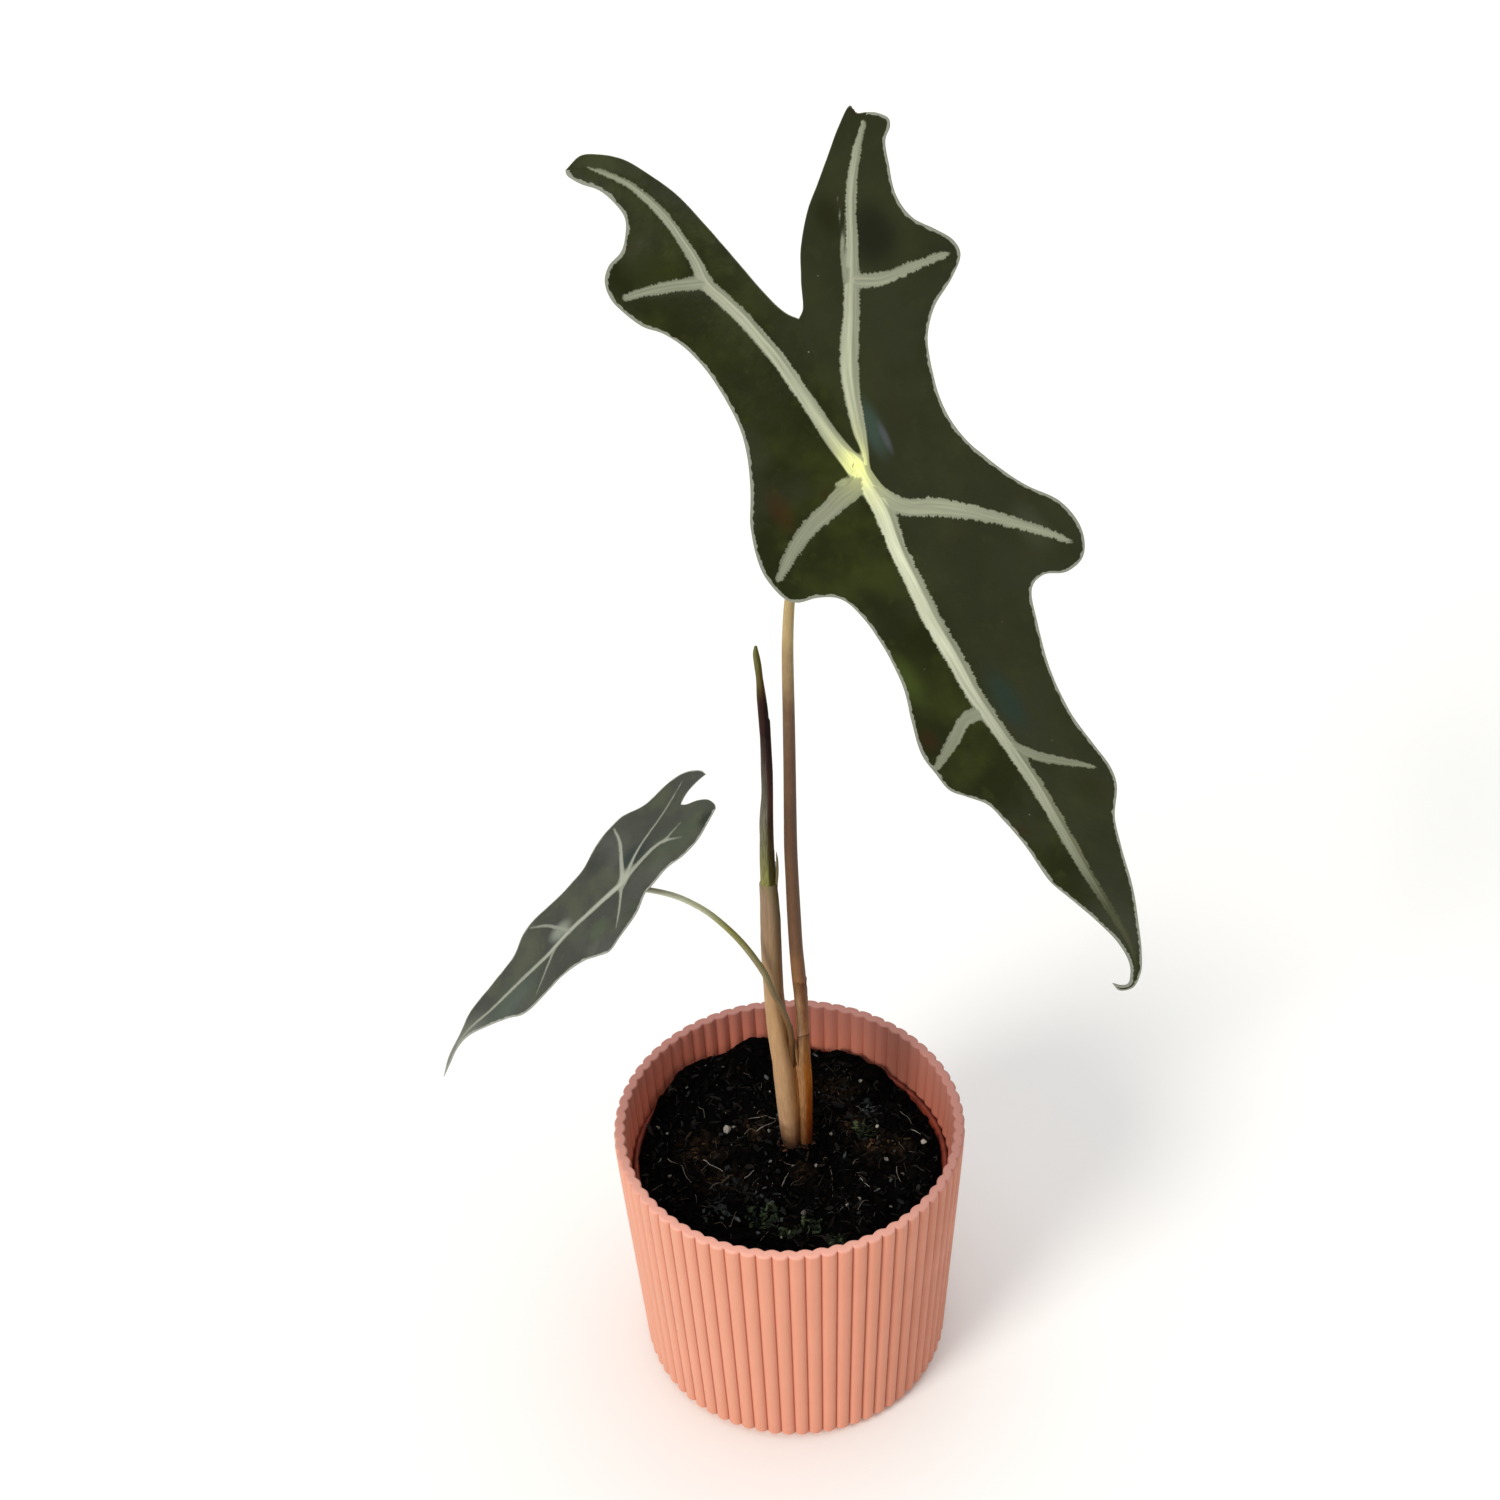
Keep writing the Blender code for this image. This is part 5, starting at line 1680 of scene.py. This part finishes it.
def large_leaf() -> Leaf:
    """Describe the large arrow-shaped leaf.

    Returns:
        The leaf, ready to build.
    """
    left = HalfBlade(
        vein=((-113, -45.5), (-109, -36), (-101, -28.5), (-89.5, -23), (-77.5, -21), (-68, -20.5),
              (-51, -10.5), (-32.5, -6), (-11, -3), (0, 0)),
        outer=(
            (-113, -45.5), (-111.5, -45.5), (-107.5, -42.5), (-103.5, -38), (-98, -35), (-93, -34),
            (-88, -36.5), (-85, -39.5), (-83, -44.5), (-79.5, -48), (-74.5, -49), (-69.5, -47.5),
            (-63.5, -44), (-59, -38.8), (-54, -35), (-46, -31.2), (-35.5, -28.7), (-25, -27.7), (-17, -28.7),
            (-7.5, -31.8), (3.5, -37.6), (15, -41.4), (21, -41.9), (28.5, -40), (31, -37), (32, -30.5),
            (34.5, -24.5), (38.5, -21.5), (46, -19.5), (57, -18.5), (68, -19), (80, -22), (91.5, -24.5),
            (99.5, -24), (107.5, -23), (111.5, -19.5), (117, -15), (126.5, -13), (139.5, -11.5), (152, -11),
            (165, -7.5), (176.5, -5), (186, -3.8), (194.5, -4.4), (200.2, -6.4), (205.1, -9.9),
            (204.7, -11.9), (202.3, -14)),
        inner=((-113, -45.5), (-115, -40), (-113, -34.5), (-108.5, -28), (-100, -21.5), (-92.5, -17),
               (-81, -12.5), (-68, -8), (-56.5, -4), (-49, -0.5), (-46, 2.5)),
        outer_seams=((0, 0), (3, 4), (5, 10), (7, 16), (9, 20), (10, 24), (11, 28), (13, 33), (16, 40),
                     (19, 43), (23, 47)),
        inner_seams=((0, 0), (2, 3), (5, 7), (9, 10)),
        pale_edge=1.0)
    right = HalfBlade(
        vein=((-87, 49.5), (-84.5, 47.5), (-80, 43), (-70.5, 35.5), (-59.5, 29.5), (-49.5, 24), (-40, 18.5),
              (-28, 11.5), (-14, 6), (0, 0)),
        outer=(
            (-87, 49.5), (-85.5, 52.5), (-82.5, 55.5), (-80.5, 55), (-78, 52), (-72, 50), (-64, 48),
            (-57, 49.5), (-51.5, 54), (-47, 57), (-43, 57), (-38, 51.5), (-33, 43.5), (-27, 38.5), (-20, 36),
            (-7.5, 34.5), (2.5, 36.5), (11, 41.5), (21.5, 49), (29, 56), (37, 57.5), (44.5, 55.5), (49, 52),
            (51, 46), (49.5, 40), (51, 35.5), (54, 33), (64.5, 30), (79, 27), (94, 26.5), (106, 28.5),
            (114.5, 29.5), (122, 28), (134.5, 21), (145.5, 17.5), (165.5, 12), (181.5, 6), (192.5, 1.5),
            (202, -3.5), (207.5, -9.3), (206.6, -13.6), (202.3, -14)),
        inner=((-87, 49.5), (-88.5, 46), (-91, 45), (-87.5, 39), (-83, 33.5), (-77, 26), (-72, 19.5),
               (-63, 12), (-56, 8.5), (-48, 5), (-46, 2.5)),
        outer_seams=((0, 0), (3, 6), (5, 9), (7, 13), (9, 16), (10, 20), (11, 26), (13, 31), (16, 34),
                     (19, 37), (23, 41)),
        inner_seams=((0, 0), (3, 5), (5, 7), (9, 10)),
        pale_edge=0.7)
    midrib = ((0, 0), (16, 2), (39, -1), (70.5, -1), (85, -1.5), (103, 2), (121, 3.5), (142, 3), (159.5, 2),
              (182, 0.5), (193, -1.5), (201, -5), (206.2, -9.5), (205.6, -12.7), (202.3, -14))
    veins = (
        Vein(((0, 0, 3.2), (7, 0.9, 3.3), (15, 1.4, 3.3), (27, 0.1, 2.9), (40, -0.2, 3.0), (52.5, -0.6, 3.1),
              (65, -0.1, 3.1), (78, -0.2, 2.8), (90, 0.7, 2.6), (103, 1.9, 2.5), (115, 2.6, 2.45),
              (128, 2.5, 2.35), (140.5, 1.9, 2.2), (153, 1.3, 1.9), (166, 0.9, 1.45), (178.5, 0.3, 1.2),
              (191, -1.2, 0.8), (201, -5, 0.5), (206, -9.5, 0.3)), (0.7, 1.0), VeinRank.MIDRIB,
              (-0.3, 0.62)),
        Vein(((0, -0.5, 3.1), (-9, -3, 2.6), (-24, -5.6, 2.2), (-38.6, -8.6, 2.2), (-46, -11, 2.1),
              (-53, -13.4, 2.2), (-60, -16.5, 2.15), (-66.6, -19.6, 2.2), (-74, -20, 1.8),
              (-81.4, -21.3, 1.4), (-88.6, -23, 1.4), (-95.6, -25.9, 1.15), (-102, -29.7, 0.95),
              (-107.4, -34.8, 0.75), (-111, -39, 0.2)), (0.5, 0.5), VeinRank.MAIN, (0.25, 0.6)),
        Vein(((-67, -20, 2.0), (-70.2, -30, 1.65), (-71.8, -37, 1.4), (-73, -44.5, 1.0)), (0.6, 0.6)),
        Vein(((0.5, 3.0, 0.8), (-2.6, 4.2, 1.1), (-5.5, 4.9, 1.5), (-8.6, 5.5, 2.1), (-13.2, 6.6, 2.35),
              (-24.5, 10.1, 2.9), (-32, 13.8, 3.0), (-40, 18.5, 2.65), (-49.5, 23.8, 2.4),
              (-59.5, 29.2, 1.9), (-70.5, 35.2, 1.7), (-80, 42.7, 1.35), (-84.7, 47.2, 0.8)),
             (0.6, 0.6), VeinRank.MAIN, (0.35, 0.55)),
        Vein(((-49, 24.5, 2.2), (-46, 32, 1.8), (-45.5, 42.5, 1.4), (-44.5, 53.5, 0.8)), (0.8, 0.8)),
        Vein(((-46, 22, 1.9), (-52, 23.3, 1.5), (-57, 24.6, 0.8), (-62, 26.8, 0.3), (-71, 30.5, 0.12)),
             (0.3, 0.3), tone=0.85),
        Vein(((6, 1, 2.4), (13.5, 5, 2.9), (17.5, 11, 2.8), (19, 17, 2.9), (24.8, 29.5, 2.4), (33, 42, 1.8),
              (37.4, 47.4, 1.45), (42, 52, 0.8)), (1.0, 1.0)),
        Vein(((4, -1, 2.4), (5.8, -5, 3.0), (6.6, -8.5, 3.1), (8.7, -14.3, 2.7), (10.2, -19.7, 2.55),
              (15.5, -30, 2.05), (19, -34.8, 1.6), (22, -38.5, 1.0)), (0.8, 0.9), tone=0.82),
        Vein(((3, -6, 1.6), (2.6, -7.8, 0.8), (2.1, -8.6, 0.25)), (0.4, 0.4), tone=0.82),
        Vein(((86, -3, 2.4), (86.5, -7, 2.1), (92, -14.5, 1.9), (97.7, -22.5, 1.1)), (0.8, 0.6)),
        Vein(((100, 2, 1.9), (103, 5, 2.0), (106, 8.5, 1.9), (110, 16.5, 1.5), (113.5, 24.5, 0.7)),
             (0.7, 0.7)))
    skin = BladeSkin(
        "waxy dark leaf skin", "large_leaf_blade", 0.42, 1.45, 0.07,
        dark="#1e2209", light="#2f3513", tint="#2e220a", sheen_tint="#2b2d1d",
        band=((0, "#a3a878"), (14, "#8b8f78"), (45, "#828672"), (90, "#7b7f6b"), (140, "#63664f"),
              (170, "#454834"), (200, "#2f3220")),
        core=((0, "#eaf098"), (4, "#dfe49c"), (9, "#cbcfa3"), (20, "#c4c9ad"), (60, "#b8bca4"),
              (95, "#9fa38e"), (140, "#838772"), (170, "#4b4e38"), (200, "#333523")),
        edge="#84877a", painted_sheen_side=0.6,
        # The first two patches, by the hub, are a painted sheen: a blue-grey reflection where the blade bends
        # down into the hub.
        patches=(
            (-9, 10, 13, 5.5, "#36463f", 0.75), (-5, 13, 7, 1.8, "#4d5055", 0.6),
            (84, 9, 16, 7, "#1f3029", 0.7), (67, -16, 12, 6, "#3a4719", 0.6),
            (88, -20, 6, 4, "#2f1e0c", 0.6), (3, -27, 10, 5, "#38220d", 0.55),
            (34, 44, 12, 7, "#3a3d2c", 0.6), (60, -10, 24, 7, "#1c2008", 0.6),
            (-30, -15, 22, 6, "#24290e", 0.5), (-78, -35, 14, 8, "#2c3116", 0.6),
            (-58, 36, 13, 12, "#14180b", 0.85), (-68, 25, 9, 6, "#1b1e06", 0.7),
            (122, 19, 10, 7, "#22270d", 0.6), (46, -14, 12, 5, "#1d210c", 0.6),
            (180, 0, 22, 12, "#35382a", 0.7)))
    return Leaf("large_leaf_skin", "large_leaf", hub=(26.5, -25.0, 418.5), turn=-24, tilt=10, roll=30.5,
                arch_radius=550, fold=0.16, soft=6, wave=4.0, wave_at=50, wave_length=92,
                phases=(0.6, 2.2), midrib=midrib, left=left, right=right, veins=veins,
                grid=(1.12, 34, 15), skin=skin)


def small_leaf() -> Leaf:
    """Describe the small narrow leaf, which faces the sky.

    Returns:
        The leaf, ready to build.
    """
    left = HalfBlade(
        vein=((-46.5, -11.5), (-37.5, -16), (-32.5, -14), (-24, -10), (-11, -6.5), (0, 0)),
        outer=((-46.5, -11.5), (-46, -13.5), (-42.5, -16.5), (-38, -18.5), (-30.5, -20), (-22, -20),
               (-14, -21.5), (-8.5, -20.5), (0, -18.5), (9, -16), (16.5, -16), (28, -16), (36, -15.5),
               (42, -14), (49, -11), (61.5, -10.5), (76, -10), (84.5, -7), (95, -4), (100, -0.5)),
        inner=((-46.5, -11.5), (-43, -11.5), (-38, -11), (-35, -10), (-33, -9)),
        outer_seams=((0, 0), (1, 3), (3, 5), (5, 8), (7, 12), (9, 14), (12, 17), (14, 19)),
        inner_seams=((0, 0), (2, 2), (5, 4)),
        pale_edge=0.3)
    right = HalfBlade(
        vein=((-42.5, 2.5), (-36, 1.5), (-29, 0), (-20, -1.5), (-8, -1.5), (0, 0)),
        outer=((-42.5, 2.5), (-38, 5.5), (-31.5, 9.5), (-25, 10.5), (-17, 9.5), (-9.5, 11), (-5.5, 12),
               (-0.5, 17), (7.5, 22), (13.5, 24), (20.5, 19), (26, 15), (35.5, 12.5), (43, 13), (51.5, 13.5),
               (56.5, 12), (63.5, 6.5), (73.5, 0.5), (83, -3.6), (89.5, -3.7), (94.5, -2.2), (100, -0.5)),
        inner=((-42.5, 2.5), (-43, 0.5), (-42, -3), (-39, -5.5), (-34.5, -7.5), (-33, -9)),
        outer_seams=((0, 0), (1, 1), (3, 4), (5, 7), (7, 12), (9, 15), (12, 19), (14, 21)),
        inner_seams=((0, 0), (2, 3), (5, 5)),
        pale_edge=0.6)
    midrib = ((0, 0), (14, -0.5), (27, -1), (37.5, -0.5), (51.5, -1.5), (68, -3), (79.5, -5), (88, -5),
              (94, -3.2), (100, -0.5))
    widths = (1.2, 0.95, 0.85, 0.8, 0.7, 0.55, 0.45, 0.3)
    veins = (
        Vein(tuple((*p, w) for p, w in zip(midrib, widths)), (0.3, 0.3), VeinRank.MIDRIB),
        Vein(((0, 0, 1.0), (-11, -6.0, 0.4), (-24, -10.5, 0.28), (-33, -13.8, 0.2), (-38, -15.5, 0.1)),
             (0.15, 0.15), VeinRank.MAIN),
        Vein(((0, 0, 1.1), (-8, -1.5, 0.75), (-19.5, -2, 0.6), (-27, 2.5, 0.15)), (0.25, 0.25),
             VeinRank.MAIN),
        Vein(((-21, -1.5, 0.4), (-29.5, -3, 0.12)), (0.1, 0.1)),
        Vein(((0, 0, 1.1), (-4, -7, 0.75), (-7.5, -13.5, 0.6), (-8.5, -19, 0.3)), (0.25, 0.25),
             VeinRank.MAIN),
        Vein(((1, 1, 0.9), (3, 5, 0.55), (6, 11, 0.45), (9, 17, 0.15)), (0.2, 0.2)),
        Vein(((26, -1, 0.7), (30, -7, 0.6), (33, -10.5, 0.5), (38, -14, 0.15)), (0.25, 0.25)),
        Vein(((34, -0.5, 0.6), (41.5, 4.5, 0.4), (48.5, 10, 0.12)), (0.2, 0.2)))
    # The blade's greys and its palest grey patches are partly painted sheen, the sky's reflection on a blade
    # that faces up.
    skin = BladeSkin(
        "satin young leaf skin", "small_leaf_blade", 0.42, 1.45, 0.35,
        dark="#3a3c35", light="#464a3a", tint="#3a4630", sheen_tint="#454640",
        band=((0, "#85887a"), (30, "#7d8073"), (60, "#75786a"), (100, "#6a6d60")),
        core=((0, "#9c9f90"), (30, "#94978a"), (60, "#8a8d80"), (100, "#80836f")),
        edge="#92948a", patch=15.0, tooth=1.0, reach=100.0, speck="#6d6f66",
        patches=(
            (95, -2, 30, 12, "#7d7f78", 0.7), (60, 2, 22, 8, "#48544a", 0.6),
            (-25, 2, 20, 8, "#46503c", 0.5), (-8.5, -5.5, 11, 4.5, "#232e2b", 0.8),
            (3, -13.5, 9, 6, "#282c26", 0.7), (15.5, 9.5, 7, 5, "#3f4d34", 0.7),
            (-28, -17, 8, 4, "#474c38", 0.7), (29, -4, 7, 4, "#888e83", 0.7), (-38, 4, 6, 5, "#1f231f", 0.8),
            (21, 15, 5, 4, "#4b4f44", 0.6), (-15, 6, 8, 4, "#4d5049", 0.5)))
    return Leaf("small_leaf_skin", "small_leaf", hub=(-55.5, -12.0, 252.5), turn=-60, tilt=52, roll=-9,
                arch_radius=450, fold=0.16, soft=4, wave=2.0, wave_at=22, wave_length=46,
                phases=(0.3, 1.7), midrib=midrib, left=left, right=right, veins=veins,
                grid=(1.7, 22, 10), skin=skin, puff=0.45, sink=0.2, thickness=0.42, rib_height=0.8)


# ---- studio

@dataclass(frozen=True)
class PalePaper(Finish):
    """Matte white studio floor."""

    def paint(self, tree: Tree, shader: Node) -> None:
        """Give the floor its one plain colour."""
        shader.inputs["Base Color"].default_value = linear("#f6f6f4")


@dataclass(frozen=True)
class StudioLight:
    """A soft light so far off that it is even over the whole floor.

    Its azimuth is right of the front and its spread is how wide it looks, all in degrees.
    """

    name: str
    azimuth: float
    elevation: float
    spread: float
    strength: float
    colour: str = "#ffffff"

    def build(self) -> None:
        """Add the light to the scene."""
        light = bpy.data.lights.new(self.name, "SUN")
        light.angle = math.radians(self.spread)
        light.energy = self.strength
        light.color = linear(self.colour)[:3]
        a, e = math.radians(self.azimuth), math.radians(self.elevation)
        toward = Vector((math.sin(a) * math.cos(e), -math.cos(a) * math.cos(e), math.sin(e)))
        lamp = bpy.data.objects.new(self.name, light)
        lamp.location = toward * 3
        lamp.rotation_euler = (-toward).to_track_quat("-Z", "Y").to_euler()
        bpy.context.scene.collection.objects.link(lamp)


@dataclass
class Studio:
    """Pale floor, soft light from the front left, and the camera looking down on the plant."""

    camera_at: Point = (-8.8, -549.5, 699.7)
    look_down: float = 36.12
    lean: float = -2.554
    lens: float = 48.0
    sensor: float = 36.0
    floor_size: float = 40000.0
    sky: float = 0.42
    lights: tuple[StudioLight, ...] = (
        StudioLight("key", -48, 32, 22, 2.05, "#fffcf6"),
        StudioLight("top", 150, 80, 70, 1.3))

    def floor(self) -> None:
        """Lay the floor under the pot."""
        bm = bmesh.new()
        bmesh.ops.create_grid(bm, x_segments=1, y_segments=1, size=self.floor_size / 2 * MM)
        mesh = bpy.data.meshes.new("floor")
        bm.to_mesh(mesh)
        bm.free()
        mesh.materials.append(PalePaper("white paper", "", 0.9, 1.45, 0.2).make())
        floor = bpy.data.objects.new("floor", mesh)
        bpy.context.scene.collection.objects.link(floor)

    def world(self) -> None:
        """Light the scene evenly from all round."""
        world = bpy.data.worlds.new("studio")
        world.use_nodes = True
        background = world.node_tree.nodes["Background"]
        background.inputs["Color"].default_value = linear("#fdfdfd")
        background.inputs["Strength"].default_value = self.sky
        bpy.context.scene.world = world
        bpy.context.scene.view_settings.view_transform = "Standard"

    def camera(self) -> None:
        """Set the camera where the plant is seen from."""
        data = bpy.data.cameras.new("camera")
        data.lens = self.lens
        data.sensor_width = self.sensor
        camera = bpy.data.objects.new("camera", data)
        down, lean = math.radians(self.look_down), math.radians(self.lean)
        ahead = Vector((0.0, math.cos(down), -math.sin(down)))
        right = Vector((1.0, 0.0, 0.0))
        up = right.cross(ahead)
        level = right * math.cos(lean) + up * math.sin(lean)
        upright = up * math.cos(lean) - right * math.sin(lean)
        turn = Matrix((level, upright, -ahead)).transposed()
        camera.matrix_world = Matrix.Translation(Vector(self.camera_at) * MM) @ turn.to_4x4()
        bpy.context.scene.collection.objects.link(camera)
        bpy.context.scene.camera = camera

    def build(self) -> None:
        """Make floor, light and camera."""
        self.floor()
        self.world()
        for light in self.lights:
            light.build()
        self.camera()


def main() -> None:
    """Build the studio and every piece of the plant."""
    logging.basicConfig(level=logging.INFO, format="%(message)s")
    Studio().build()
    CoverPot().build()
    GrowersPot().build()
    PottingSoil().build()
    Stems().build()
    large_leaf().build()
    small_leaf().build()


if __name__ == "__main__":
    main()
